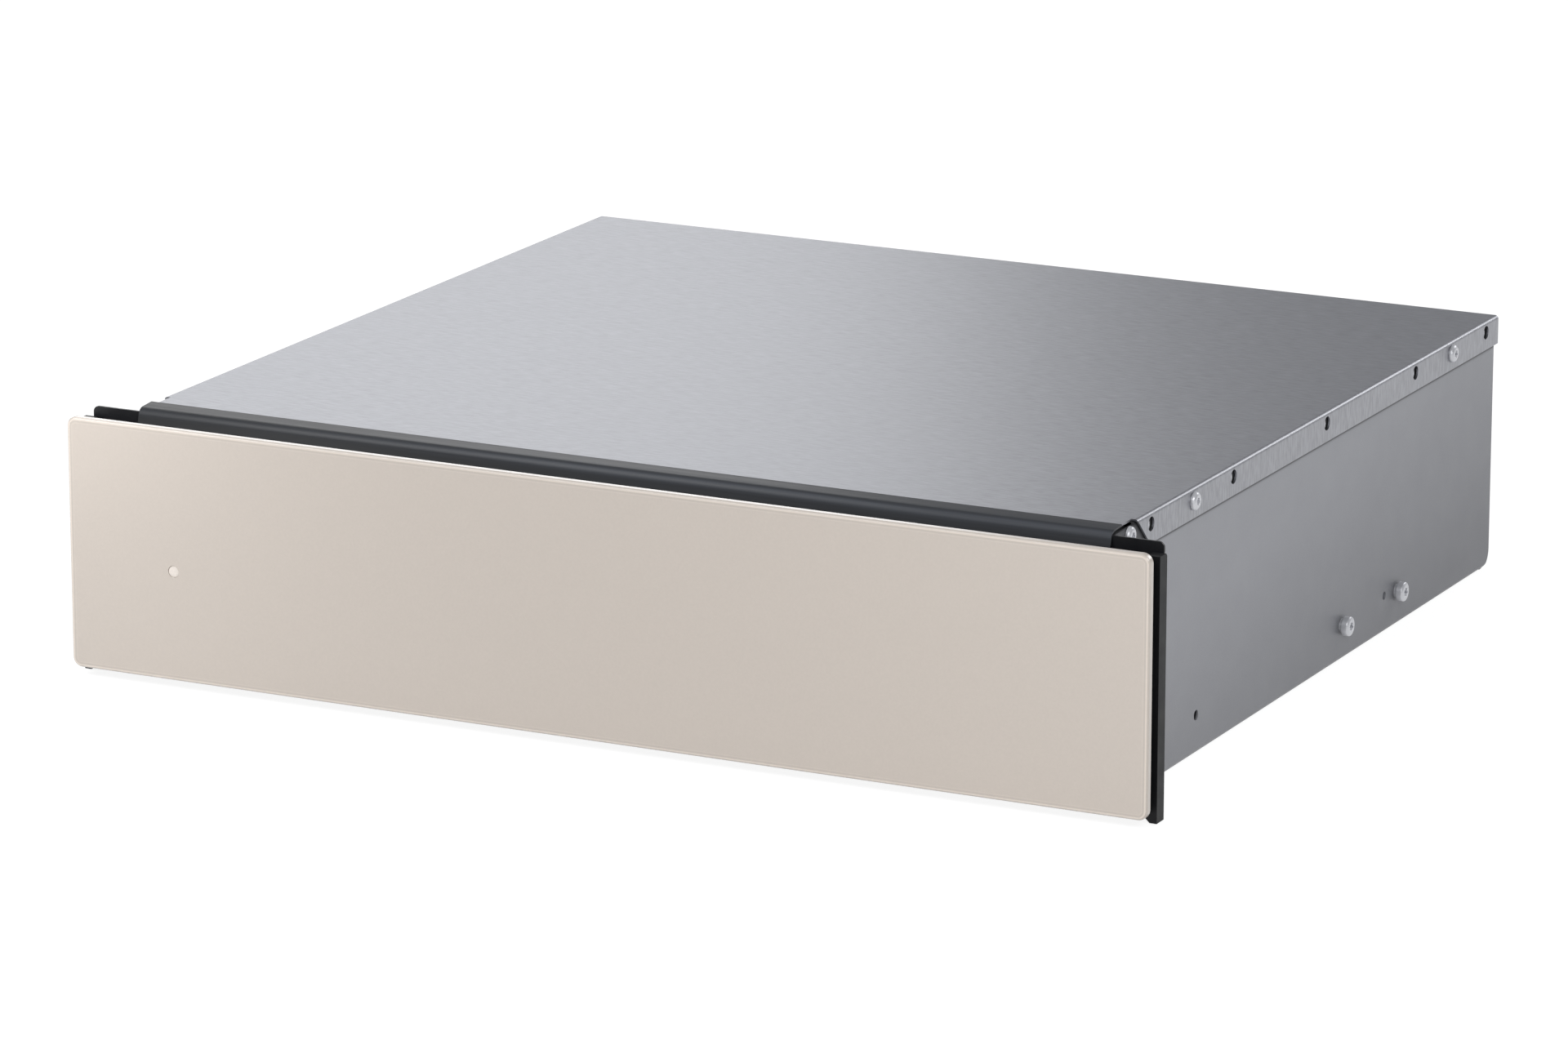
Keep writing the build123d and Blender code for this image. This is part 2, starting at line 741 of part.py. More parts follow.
# Carrier: the moulded black frame that the glass is bonded to, with a deep bar down each side.
carrier_half = glass_width / 2 - carrier_inset
carrier_low = glass_bottom + carrier_foot
carrier_top = bar_top - carrier_foot
rib_front = glass_thickness + carrier_skin
with BuildPart() as front_carrier:
    box_at((-carrier_half, glass_thickness, carrier_low), (carrier_half, carrier_back, carrier_top))
    box_at(
        (-carrier_half + carrier_rib, rib_front, carrier_low + carrier_rib),
        (carrier_half - carrier_rib, carrier_back, carrier_top - carrier_rib),
        Mode.SUBTRACT,
    )
    # upright ribs, one long rib and square bosses for the screws
    rib_pitch = 2 * (carrier_half - rib_margin) / (rib_count - 1)
    with BuildSketch(facing(rib_front)):
        with Locations((0, (carrier_low + carrier_top) / 2)):
            with GridLocations(rib_pitch, 1, rib_count, 1):
                Rectangle(carrier_rib, carrier_top - carrier_low)
        with Locations((0, fan_height)):
            Rectangle(2 * carrier_half, carrier_rib)
        with Locations((0, boss_height)):
            with GridLocations(boss_pitch, 1, boss_count, 1):
                Rectangle(boss_size, boss_size)
    extrude(amount=rib_front - carrier_back)
    with BuildSketch(facing(carrier_back)):
        with Locations((0, boss_height)):
            with GridLocations(boss_pitch, 1, boss_count, 1):
                Circle(boss_screw_radius + hole_play)
    extrude(amount=boss_hole_depth, mode=Mode.SUBTRACT)
    with BuildSketch(facing(carrier_back)):
        with BuildLine():
            outer = glass_width / 2
            Polyline(
                (outer, bar_bottom),
                (outer, bar_top),
                (outer - bar_width, bar_top),
                (outer - bar_width, bar_bottom + bar_width - bar_flat),
                (outer - bar_flat, bar_bottom),
                close=True,
            )
        make_face()
        mirror(about=Plane.YZ)
    extrude(amount=-bar_depth)
    bar_tops = front_carrier.edges().filter_by(Axis.X).group_by(Axis.Z)[-1].group_by(Axis.Y)[-1]
    chamfer(bar_tops, bar_bevel)
    with BuildSketch(facing(glass_thickness)):
        with Locations((lens_x, lens_height)):
            Circle(lens_collar + hole_play)
    extrude(amount=-carrier_rise, mode=Mode.SUBTRACT)
save(front_carrier.part, "front_carrier")

# Indicator lens: a small light guide, flush with the glass, with a collar behind it.
indicator_lens = turned(
    [
        (0, 0),
        (-lens_length, 0),
        (-lens_length, lens_collar),
        (-glass_thickness, lens_collar),
        (-glass_thickness, lens_radius),
        (-lens_bevel, lens_radius),
        (0, lens_radius - lens_bevel),
    ]
)
save(Pos(lens_x, front_y, lens_height) * Rot(0, 0, -90) * indicator_lens, "indicator_lens")

# Chassis: the folded pan that carries the tray, with the upright plate that the carrier is screwed to.
with BuildPart() as drawer_chassis:
    box_at(
        (-chassis_half, carrier_back, chassis_floor),
        (chassis_half, chassis_back, chassis_floor + chassis_side),
    )
    fillet(drawer_chassis.edges().filter_by(Axis.Y).group_by(Axis.Z)[0], lid_bend)
    with BuildSketch(facing(carrier_back + sheet)):
        with Locations((0, chassis_floor + sheet + chassis_side)):
            RectangleRounded(2 * (chassis_half - sheet), 2 * chassis_side, lid_bend - sheet)
    extrude(amount=carrier_back + sheet - housing_back, mode=Mode.SUBTRACT)
    box_at(
        (-chassis_half, carrier_back, chassis_floor + 2 * lid_bend),
        (chassis_half, carrier_back + sheet, chassis_front_top),
    )
    with BuildSketch(facing(carrier_back)):
        with Locations((lens_x, lens_height)):
            Circle(lens_radius)
        with Locations((0, boss_height)):
            with GridLocations(boss_pitch, 1, boss_count, 1):
                Circle(boss_screw_radius + hole_play)
    extrude(amount=-sheet, mode=Mode.SUBTRACT)
save(drawer_chassis.part, "drawer_chassis")

# Indicator board: a small circuit board with its light inside the lens's collar and one plug behind.
board_front = carrier_back + sheet
with BuildPart() as indicator_board:
    with BuildSketch(facing(board_front)):
        with Locations((lens_x + light_board_shift, lens_height)):
            Rectangle(light_board_width, light_board_height)
    extrude(amount=-board_thickness)
    with BuildSketch(facing(board_front)):
        with Locations((lens_x, lens_height)):
            Circle(lens_radius - light_play)
    extrude(amount=board_front - lens_length - light_gap)
    with BuildSketch(facing(board_front + board_thickness)):
        with Locations((lens_x + plug_height, lens_height)):
            Rectangle(plug_width, plug_height)
    extrude(amount=-plug_depth)
save(indicator_board.part, "indicator_board")

# Insulation pad between the chassis floor and the tray.
with BuildPart() as insulation_pad:
    with BuildSketch(level(chassis_floor + sheet)):
        with Locations((0, tray_middle)):
            RectangleRounded(2 * (tray_half - pad_play), tray_length - 2 * pad_end, tray_corner)
    extrude(amount=tray_rise - sheet)
save(insulation_pad.part, "insulation_pad")

# Tray: a deep-drawn tub with a flat lip, open to the fan chamber behind it.
opening_width = grille_width - 2 * grille_overlap
opening_height = grille_height - 2 * grille_overlap
with BuildPart() as drawer_tray:
    with BuildSketch(level(tray_bottom)):
        with Locations((0, tray_middle)):
            RectangleRounded(2 * tray_half, tray_length, tray_corner)
    extrude(amount=tray_top - tray_bottom)
    chamfer(drawer_tray.faces().sort_by(Axis.Z)[0].edges(), tray_bevel)
    offset(amount=-sheet, openings=drawer_tray.faces().sort_by(Axis.Z)[-1])
    with BuildSketch(level(tray_top - sheet)):
        with Locations((0, tray_middle)):
            RectangleRounded(2 * chassis_half, tray_length + 2 * tray_lip, tray_corner)
            RectangleRounded(
                2 * (tray_half - sheet),
                tray_length - 2 * sheet,
                tray_corner - sheet,
                mode=Mode.SUBTRACT,
            )
    extrude(amount=sheet)
    with BuildSketch(facing(tray_back - 2 * sheet)):
        with Locations((0, fan_height)):
            Rectangle(opening_width, opening_height)
    extrude(amount=-3 * sheet, mode=Mode.SUBTRACT)
save(drawer_tray.part, "drawer_tray")

with BuildPart() as tray_mat:
    with BuildSketch(level(tray_floor)):
        with Locations((0, tray_middle)):
            RectangleRounded(2 * (tray_half - mat_margin), tray_length - 2 * mat_margin, mat_corner)
    extrude(amount=mat_thickness)
save(tray_mat.part, "tray_mat")

# Grille over the fan opening, inside the tray.
with BuildPart() as fan_grille:
    with BuildSketch(facing(tray_back - 2 * sheet)):
        with Locations((0, fan_height)):
            RectangleRounded(grille_width, grille_height, grille_corner)
            slot_pitch_x = (opening_width - slot_width) / (slot_columns - 1)
            slot_pitch_z = (opening_height - slot_height) / (slot_rows - 1)
            with GridLocations(slot_pitch_x, slot_pitch_z, slot_columns, slot_rows):
                Rectangle(slot_width, slot_height, mode=Mode.SUBTRACT)
    extrude(amount=-sheet)
save(fan_grille.part, "fan_grille")

# Fan housing: a sheet box behind the tray, open to the front.
housing_half = chassis_half - housing_margin
housing_low = chassis_floor + sheet
housing_top = tray_top - housing_drop
heater_ends = (90 - heater_open / 2, 90 + heater_open / 2)
leg_places = [
    (heater_radius * cos(radians(angle)), heater_radius * sin(radians(angle))) for angle in heater_ends
]
with BuildPart() as fan_housing:
    box_at((-housing_half, tray_back, housing_low), (housing_half, housing_back, housing_top))
    box_at(
        (-housing_half + sheet, tray_back, housing_low + sheet),
        (housing_half - sheet, housing_back - sheet, housing_top - sheet),
        Mode.SUBTRACT,
    )
    with BuildSketch(facing(housing_back - sheet)):
        with Locations((0, fan_height)):
            Circle(shaft_hole)
            with Locations(*leg_places):
                Circle(heater_tube + hole_play)
    extrude(amount=-sheet, mode=Mode.SUBTRACT)
save(fan_housing.part, "fan_housing")

# Ring heater: a tube bent round the fan wheel, both legs passing back through the housing.
ring_depth = wheel_front + wheel_depth / 2
with BuildPart() as ring_heater:
    ring_start = Plane(
        origin=(0, front_y + ring_depth, fan_height),
        x_dir=(cos(radians(heater_ends[1])), 0, sin(radians(heater_ends[1]))),
        z_dir=(sin(radians(heater_ends[1])), 0, -cos(radians(heater_ends[1]))),
    )
    with BuildSketch(ring_start):
        with Locations((heater_radius, 0)):
            RegularPolygon(heater_tube, 6)
    revolve(axis=Axis((0, front_y, fan_height), (0, -1, 0)), revolution_arc=360 - heater_open)
    with BuildSketch(facing(ring_depth - heater_tube)):
        with Locations((0, fan_height)):
            with Locations(*leg_places):
                RegularPolygon(heater_tube, 6)
    extrude(amount=ring_depth - heater_tube - housing_back - heater_leg)
save(ring_heater.part, "ring_heater")

# Fan wheel: a back disc, curved blades and a front ring, on a separate shaft.
blade_root = 0.6 * wheel_radius
blade_tip = wheel_radius - wheel_rim / 2
with BuildSketch() as blade:
    with BuildLine():
        root = (blade_root, 0)
        tip = (blade_tip, blade_sweep)
        tip_back = (blade_tip - blade_thickness, blade_sweep + blade_thickness / 2)
        root_back = (blade_root, blade_thickness)
        ThreePointArc(root, swell(root, tip, -blade_bulge), tip)
        Line(tip, tip_back)
        ThreePointArc(tip_back, swell(tip_back, root_back, blade_bulge), root_back)
        Line(root_back, root)
    make_face()
with BuildPart() as fan_wheel:
    with BuildSketch(facing(wheel_back - sheet)):
        with Locations((0, fan_height)):
            Circle(wheel_radius)
            Circle(shaft_radius, mode=Mode.SUBTRACT)
    extrude(amount=-sheet)
    with BuildSketch(facing(wheel_back - hub_length)):
        with Locations((0, fan_height)):
            Circle(hub_radius)
            Circle(shaft_radius, mode=Mode.SUBTRACT)
    extrude(amount=-hub_length)
    with BuildSketch(facing(wheel_front)):
        with Locations((0, fan_height)):
            Circle(wheel_radius)
            Circle(wheel_radius - wheel_rim, mode=Mode.SUBTRACT)
    extrude(amount=-sheet)
    with BuildSketch(facing(wheel_front)):
        with Locations((0, fan_height)):
            with PolarLocations(0, blade_count):
                add(blade.sketch)
    extrude(amount=sheet / 2 - wheel_depth)
save(fan_wheel.part, "fan_wheel")

shaft_front = wheel_back - hub_length
shaft_back = housing_back + motor_reach - sheet
with BuildPart() as fan_shaft:
    with BuildSketch(facing(shaft_front)):
        with Locations((0, fan_height)):
            Circle(shaft_radius)
    extrude(amount=shaft_front - shaft_back)
save(fan_shaft.part, "fan_shaft")

# Fan motor: a laminated stack with its coil below and a bearing cap on each face.
stack_front = housing_back + motor_gap
with BuildPart() as fan_motor:
    with BuildSketch(facing(stack_front)):
        with Locations((0, fan_height)):
            Rectangle(motor_width, motor_height)
    extrude(amount=-motor_stack)
    chamfer(fan_motor.edges().filter_by(Axis.Y), motor_corner)
    with BuildSketch(facing(housing_back)):
        with Locations((0, fan_height)):
            Circle(bearing_radius)
    extrude(amount=-motor_reach)
    with BuildSketch(facing(stack_front - coil_bulge)):
        with Locations((0, fan_height - motor_height / 2 + coil_rise)):
            Rectangle(coil_width, coil_height)
    extrude(amount=-(motor_stack + 2 * coil_bulge))
    with BuildSketch(facing(housing_back)):
        with Locations((0, fan_height)):
            Circle(shaft_radius + shaft_play)
    extrude(amount=-motor_reach, mode=Mode.SUBTRACT)
save(fan_motor.part, "fan_motor")

# Thermal cut-out: a flanged disc switch on the back of the fan housing.
with BuildPart() as thermal_cutout:
    with BuildSketch(facing(housing_back)):
        with Locations((cutout_offset, fan_height)):
            Rectangle(cutout_ear, cutout_ear_height)
    extrude(amount=-cutout_plate)
    with BuildSketch(facing(housing_back)):
        with Locations((cutout_offset, fan_height)):
            Circle(cutout_radius)
    extrude(amount=-cutout_height)
    with BuildSketch(facing(housing_back + cutout_height)):
        with Locations((cutout_offset, fan_height)):
            with GridLocations(cutout_radius, 1, 2, 1):
                Rectangle(spade_thickness, spade_width)
    extrude(amount=-spade_length)
save(thermal_cutout.part, "thermal_cutout")

# Striker: the plate on the back of the drawer that the latch's plunger pushes.
with BuildPart() as latch_striker:
    with BuildSketch(facing(housing_back)):
        with Locations((latch_x, latch_height)):
            RectangleRounded(latch_width, latch_width, fascia_corner)
    extrude(amount=-striker_thickness)
save(latch_striker.part, "latch_striker")

# ---------------------------------------------------------------- controls, on the inside of the drawer's front
dish_floor = tray_top - dish_depth
with BuildPart() as control_fascia:
    box_at((-chassis_half, carrier_back, chassis_front_top), (chassis_half, fascia_back, tray_top))
    fillet(control_fascia.edges().filter_by(Axis.Z), fascia_corner)
    box_at(
        (-chassis_half + fascia_skin, carrier_back + fascia_skin, chassis_front_top),
        (chassis_half - fascia_skin, fascia_back - fascia_skin, tray_top - fascia_skin),
        Mode.SUBTRACT,
    )
    with BuildSketch(level(dish_floor - fascia_skin)):
        with Locations((knob_x, control_at)):
            Circle(dish_radius)
    extrude(amount=dish_depth + fascia_skin)
    with BuildSketch(level(dish_floor)):
        with Locations((knob_x, control_at)):
            Circle(dish_radius - fascia_skin)
    extrude(amount=dish_depth, mode=Mode.SUBTRACT)
    with BuildSketch(level(dish_floor - fascia_skin)):
        with Locations((knob_x, control_at)):
            Circle(spindle_radius + spindle_play)
    extrude(amount=fascia_skin, mode=Mode.SUBTRACT)
    with BuildSketch(level(tray_top - fascia_skin)):
        with Locations((button_x, control_at)):
            Rectangle(button_width + 2 * button_play, button_height + 2 * button_play)
    extrude(amount=fascia_skin, mode=Mode.SUBTRACT)
    # four posts hold the control board
    with BuildSketch(level(board_top)):
        with Locations((button_x, control_at)):
            with GridLocations(post_pitch_x, post_pitch_y, 2, 2):
                Rectangle(post_size, post_size)
    extrude(amount=tray_top - fascia_skin / 2 - board_top)
save(control_fascia.part, "control_fascia")

# Knob: many flat sides for grip, a bevelled top and a raised pointer.
knob_base = dish_floor + knob_gap
knob_top = knob_base + knob_height
spindle_top = knob_top - spindle_cap
with BuildPart() as temperature_knob:
    with BuildSketch(level(knob_base)):
        with Locations((knob_x, control_at)):
            RegularPolygon(knob_radius, knob_sides)
    extrude(amount=knob_height)
    chamfer(temperature_knob.faces().sort_by(Axis.Z)[-1].edges(), knob_bevel)
    with BuildSketch(level(knob_base)):
        with Locations((knob_x, control_at)):
            Circle(spindle_radius)
    extrude(amount=spindle_top - knob_base, mode=Mode.SUBTRACT)
    with BuildSketch(level(spindle_top)):
        with Locations((knob_x, control_at - knob_radius / 2)):
            Rectangle(pointer_width, knob_radius / 2)
    extrude(amount=spindle_cap + pointer_rise)
save(temperature_knob.part, "temperature_knob")

thermostat_top = dish_floor - fascia_skin
thermostat_low = thermostat_top - thermostat_height
spindle_foot = thermostat_top - spindle_depth
with BuildPart() as knob_spindle:
    with BuildSketch(level(spindle_foot)):
        with Locations((knob_x, control_at)):
            Circle(spindle_radius)
    extrude(amount=spindle_top - spindle_foot)
save(knob_spindle.part, "knob_spindle")

# Thermostat: a drum body with two mounting ears and three spade terminals.
with BuildPart() as thermostat:
    with BuildSketch(level(thermostat_low)):
        with Locations((knob_x, control_at)):
            RegularPolygon(thermostat_radius, 12)
    extrude(amount=thermostat_height - thermostat_plate)
    with BuildSketch(level(thermostat_top - thermostat_plate)):
        with Locations((knob_x, control_at)):
            Rectangle(2 * thermostat_radius + thermostat_ear, thermostat_radius)
    extrude(amount=thermostat_plate)
    with BuildSketch(level(spindle_foot - shaft_play)):
        with Locations((knob_x, control_at)):
            Circle(spindle_radius + shaft_play)
    extrude(amount=thermostat_height, mode=Mode.SUBTRACT)
    with BuildSketch(level(thermostat_low)):
        with Locations((knob_x, control_at)):
            with GridLocations(thermostat_radius / 2, 1, 3, 1):
                Rectangle(spade_thickness, spade_width)
    extrude(amount=-spade_length)
save(thermostat.part, "thermostat")

# Power button: its skirt stays under the fascia and its stem stands over the switch.
skirt_top = tray_top - fascia_skin - rest_gap
stem_foot = skirt_top - 2 * stem_size
with BuildPart() as power_button:
    with BuildSketch(level(skirt_top)):
        with Locations((button_x, control_at)):
            Rectangle(button_width, button_height)
    extrude(amount=tray_top + button_rise - skirt_top)
    chamfer(power_button.faces().sort_by(Axis.Z)[-1].edges(), button_bevel)
    with BuildSketch(level(skirt_top - skirt_thickness)):
        with Locations((button_x, control_at)):
            Rectangle(button_width + 2 * button_skirt, button_height + 2 * button_skirt)
    extrude(amount=skirt_thickness)
    with BuildSketch(level(stem_foot)):
        with Locations((button_x, control_at)):
            Rectangle(stem_size, stem_size)
    extrude(amount=skirt_top - stem_foot)
save(power_button.part, "power_button")

# Control board: hung on the fascia's posts, with the button's switch above and two relays below.
board_half_x = (post_pitch_x + post_size) / 2 + board_margin
board_half_y = (post_pitch_y + post_size) / 2
switch_top = stem_foot - button_travel - rest_gap
with BuildPart() as control_board:
    box_at(
        (button_x - board_half_x, control_at - board_half_y, board_top - board_thickness),
        (button_x + board_half_x, control_at + board_half_y, board_top),
    )
    box_at(
        (button_x - switch_size / 2, control_at - switch_size / 2, board_top),
        (button_x + switch_size / 2, control_at + switch_size / 2, switch_top),
    )
    with BuildSketch(level(board_top - board_thickness)):
        with Locations((button_x, control_at)):
            with GridLocations(relay_pitch, 1, 2, 1):
                Rectangle(relay_width, relay_length)
    extrude(amount=-relay_height)
save(control_board.part, "control_board")

# ---------------------------------------------------------------- push-to-open latch and mains terminal
tip_depth = housing_back + striker_thickness + latch_play
bore_end = tip_depth + plunger_length + latch_stroke + spring_room
with BuildPart() as latch_housing:
    with BuildSketch(facing(inner_back - latch_length)):
        with Locations((latch_x, latch_height)):
            RectangleRounded(latch_width, latch_width, fascia_corner)
    extrude(amount=-latch_length)
    with BuildSketch(facing(inner_back - latch_plate)):
        with Locations((latch_x, latch_height)):
            Rectangle(latch_width + 2 * latch_ear, latch_width - fascia_corner * 2)
    extrude(amount=-latch_plate)
    with BuildSketch(facing(inner_back - latch_length)):
        with Locations((latch_x, latch_height)):
            Circle(plunger_radius + plunger_play)
    extrude(amount=inner_back - latch_length - bore_end, mode=Mode.SUBTRACT)
save(latch_housing.part, "latch_housing")

with BuildPart() as latch_plunger:
    with BuildSketch(facing(tip_depth)):
        with Locations((latch_x, latch_height)):
            Circle(plunger_radius)
    extrude(amount=-plunger_length)
    chamfer(latch_plunger.faces().sort_by(Axis.Y)[0].edges(), plunger_bevel)
save(latch_plunger.part, "latch_plunger")

with BuildPart() as terminal_box:
    low = (gland_x - terminal_width / 2, inner_back - terminal_depth, gland_height - terminal_foot)
    high = (gland_x + terminal_width / 2, inner_back, low[2] + terminal_height)
    box_at(low, high)
    chamfer(terminal_box.edges().filter_by(Axis.Y), terminal_corner)
    chamfer(terminal_box.faces().sort_by(Axis.Y)[0].edges(), terminal_wall / 2)
    box_at(
        (low[0] + terminal_wall, low[1] + terminal_wall, low[2] + terminal_wall),
        (high[0] - terminal_wall, high[1], high[2] - terminal_wall),
        Mode.SUBTRACT,
    )
save(terminal_box.part, "terminal_box")

# Cable gland: a threaded body through the back panel, a nut inside, a hexagon and a twelve-sided cap outside.
gland_front = inner_back - 2 * gland_nut
with BuildPart() as cable_gland:
    with BuildSketch(facing(gland_front)):
        with Locations((gland_x, gland_height)):
            Circle(gland_radius)
    extrude(amount=gland_front - case_back)
    with BuildSketch(facing(inner_back - gland_nut)):
        with Locations((gland_x, gland_height)):
            RegularPolygon(gland_radius + gland_nut, 6)
    extrude(amount=-gland_nut)
    with BuildSketch(facing(case_back)):
        with Locations((gland_x, gland_height)):
            RegularPolygon(gland_radius + gland_nut, 6)
    extrude(amount=-gland_collar)
    with BuildSketch(facing(case_back + gland_collar)):
        with Locations((gland_x, gland_height)):
            RegularPolygon(gland_radius + gland_bevel, 12)
    extrude(amount=gland_collar - gland_reach - sheet)
    chamfer(cable_gland.faces().sort_by(Axis.Y)[-1].edges(), gland_bevel)
    with BuildSketch(facing(gland_front)):
        with Locations((gland_x, gland_height)):
            Circle(gland_bore)
    extrude(amount=gland_front - case_back - gland_reach - sheet, mode=Mode.SUBTRACT)
save(cable_gland.part, "cable_gland")

# Screws hold the carrier to the chassis, from inside the drawer.
carrier_screw = pan_screw(boss_screw_head, boss_screw_rise, boss_screw_radius, sheet + boss_screw_length)
with BuildPart() as carrier_screws:
    for index in range(boss_count):
        seat = (index * boss_pitch - boss_half, front_y + carrier_back + sheet, boss_height)
        with Locations(Location(seat, (0, 0, 90))):
            add(carrier_screw)
save(carrier_screws.part, "carrier_screws")
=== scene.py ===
"""A built-in warming drawer, dressed and lit as in a studio photograph. Metres, in the model's own frame."""
import json
from math import cos, pi, radians, sin

import bmesh
import bpy
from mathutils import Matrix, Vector


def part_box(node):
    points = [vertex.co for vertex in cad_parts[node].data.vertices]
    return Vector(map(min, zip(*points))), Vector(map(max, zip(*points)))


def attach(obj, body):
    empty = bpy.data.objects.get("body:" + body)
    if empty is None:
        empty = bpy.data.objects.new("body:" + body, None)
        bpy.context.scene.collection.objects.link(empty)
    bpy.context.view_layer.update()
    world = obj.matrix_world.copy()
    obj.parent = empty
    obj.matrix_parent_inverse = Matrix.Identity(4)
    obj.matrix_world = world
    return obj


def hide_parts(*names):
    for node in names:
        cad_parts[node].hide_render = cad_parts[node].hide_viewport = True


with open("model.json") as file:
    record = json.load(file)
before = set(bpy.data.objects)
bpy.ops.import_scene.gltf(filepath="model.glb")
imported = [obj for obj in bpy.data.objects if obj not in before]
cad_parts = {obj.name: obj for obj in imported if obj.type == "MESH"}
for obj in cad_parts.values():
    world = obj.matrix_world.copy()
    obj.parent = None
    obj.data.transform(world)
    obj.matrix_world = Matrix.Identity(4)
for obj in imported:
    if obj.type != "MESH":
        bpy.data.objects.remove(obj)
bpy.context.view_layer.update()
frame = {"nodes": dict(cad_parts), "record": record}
nodes = frame["nodes"]
MM = 0.001

# ---------------------------------------------------------------- sizes taken from the frame
glass_low, glass_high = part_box("front_glass")
front = glass_low[1]                      # the glass's front face
lid_low, lid_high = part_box("top_cover")
GLASS_CORNER = 5.0 * MM                   # radius of the front's four corners


# ---------------------------------------------------------------- camera
CAMERA_PLACE = (1.63686, front - 3.05573, 1.04287)
CAMERA_LOOK = (-0.43272946, 0.8636627, -0.25851877)
LENS_MM = 169.54
SENSOR_MM = 36.0
FARTHEST = 200.0                          # beyond the far edge of the floor

camera_data = bpy.data.cameras.new("camera")
camera_data.lens = LENS_MM
camera_data.sensor_width = SENSOR_MM
camera_data.sensor_fit = "HORIZONTAL"
camera_data.clip_end = FARTHEST
camera = bpy.data.objects.new("camera", camera_data)
camera.location = CAMERA_PLACE
camera.rotation_euler = Vector(CAMERA_LOOK).to_track_quat("-Z", "Y").to_euler()
bpy.context.collection.objects.link(camera)
bpy.context.scene.camera = camera
bpy.context.scene.view_settings.view_transform = "Standard"


# ---------------------------------------------------------------- material helpers
def srgb(r, g, b):
    """A colour given as seen on screen, 0 to 255, as linear values."""
    def one(v):
        v /= 255.0
        return v / 12.92 if v <= 0.04045 else ((v + 0.055) / 1.055) ** 2.4
    return (one(r), one(g), one(b), 1.0)


class Shader:
    """A Principled material with short ways to add procedural textures."""

    def __init__(self, name, color, roughness=0.5, metallic=0.0, **sockets):
        self.material = bpy.data.materials.new(name)
        self.material.use_nodes = True
        self.tree = self.material.node_tree
        self.bsdf = self.tree.nodes["Principled BSDF"]
        self.set("Base Color", color)
        self.set("Roughness", roughness)
        self.set("Metallic", metallic)
        for key, value in sockets.items():
            self.set(key.replace("_", " "), value)
        self.material.diffuse_color = color

    def set(self, socket, value):
        self.bsdf.inputs[socket].default_value = value

    def node(self, kind, **settings):
        made = self.tree.nodes.new(kind)
        for key, value in settings.items():
            setattr(made, key, value)
        return made

    def link(self, out, into):
        self.tree.links.new(out, into)

    def place(self):
        """Object coordinates, which are the model's own metres."""
        return self.node("ShaderNodeTexCoord").outputs["Object"]

    def axes(self):
        """The X, Y and Z of the place on the object, in metres."""
        split = self.node("ShaderNodeSeparateXYZ")
        self.link(self.place(), split.inputs[0])
        return split.outputs["X"], split.outputs["Y"], split.outputs["Z"]

    def math(self, operation, a, b=None):
        """One Math node; a and b are sockets or numbers."""
        made = self.node("ShaderNodeMath", operation=operation)
        for socket, value in zip(made.inputs, (a, b)):
            if value is None:
                continue
            if isinstance(value, (int, float)):
                socket.default_value = value
            else:
                self.link(value, socket)
        return made.outputs[0]

    def noise(self, scale, detail=3.0, stretch=(1, 1, 1), rough=0.5):
        """Noise in object space; scale is in features per metre, stretched along each axis."""
        mapping = self.node("ShaderNodeMapping")
        mapping.inputs["Scale"].default_value = stretch
        texture = self.node("ShaderNodeTexNoise")
        texture.inputs["Scale"].default_value = scale
        texture.inputs["Detail"].default_value = detail
        texture.inputs["Roughness"].default_value = rough
        self.link(self.place(), mapping.inputs["Vector"])
        self.link(mapping.outputs["Vector"], texture.inputs["Vector"])
        return texture.outputs["Fac"]

    def ramp(self, factor, *stops):
        """A colour ramp through (position, colour) stops."""
        made = self.node("ShaderNodeValToRGB")
        elements = made.color_ramp.elements
        while len(elements) < len(stops):
            elements.new(0.5)
        # the stops are put in order, as a ramp reads them only in rising order
        for element, (position, color) in zip(elements, sorted(stops)):
            element.position = position
            element.color = color
        self.link(factor, made.inputs["Fac"])
        return made.outputs["Color"]

    def vary_color(self, factor, a, b, low=0.3, high=0.7):
        self.link(self.ramp(factor, (low, a), (high, b)), self.bsdf.inputs["Base Color"])

    def multiply_by(self, shade):
        """Multiply what already feeds the base colour by another colour."""
        mix = self.node("ShaderNodeMix", data_type="RGBA", blend_type="MULTIPLY")
        mix.inputs["Factor"].default_value = 1.0
        before = self.bsdf.inputs["Base Color"].links[0].from_socket
        self.link(before, mix.inputs["A"])
        self.link(shade, mix.inputs["B"])
        self.link(mix.outputs["Result"], self.bsdf.inputs["Base Color"])

    def darken(self, factor, amount, dark=0.3, clear=0.7):
        """Darken the base colour by a share where factor is at dark, fading to none where it is at clear."""
        self.multiply_by(self.ramp(factor, (dark, grey(1 - amount)), (clear, grey(1.0))))

    def vary_roughness(self, factor, low, high):
        span = self.node("ShaderNodeMapRange")
        span.inputs["To Min"].default_value = low
        span.inputs["To Max"].default_value = high
        span.inputs["From Min"].default_value = 0.3
        span.inputs["From Max"].default_value = 0.7
        self.link(factor, span.inputs["Value"])
        self.link(span.outputs["Result"], self.bsdf.inputs["Roughness"])

    def bump(self, factor, strength, distance):
        """Height detail; distance is in metres. Several calls stack."""
        made = self.node("ShaderNodeBump")
        made.inputs["Strength"].default_value = strength
        made.inputs["Distance"].default_value = distance
        self.link(factor, made.inputs["Height"])
        before = self.bsdf.inputs["Normal"].links
        if before:
            self.link(before[0].from_socket, made.inputs["Normal"])
        self.link(made.outputs["Normal"], self.bsdf.inputs["Normal"])


def grey(level):
    """A neutral linear colour."""
    return (level, level, level, 1.0)


def tint(color, factor):
    """The same colour, lighter or darker."""
    return tuple(min(1.0, c * factor) for c in color[:3]) + (1.0,)


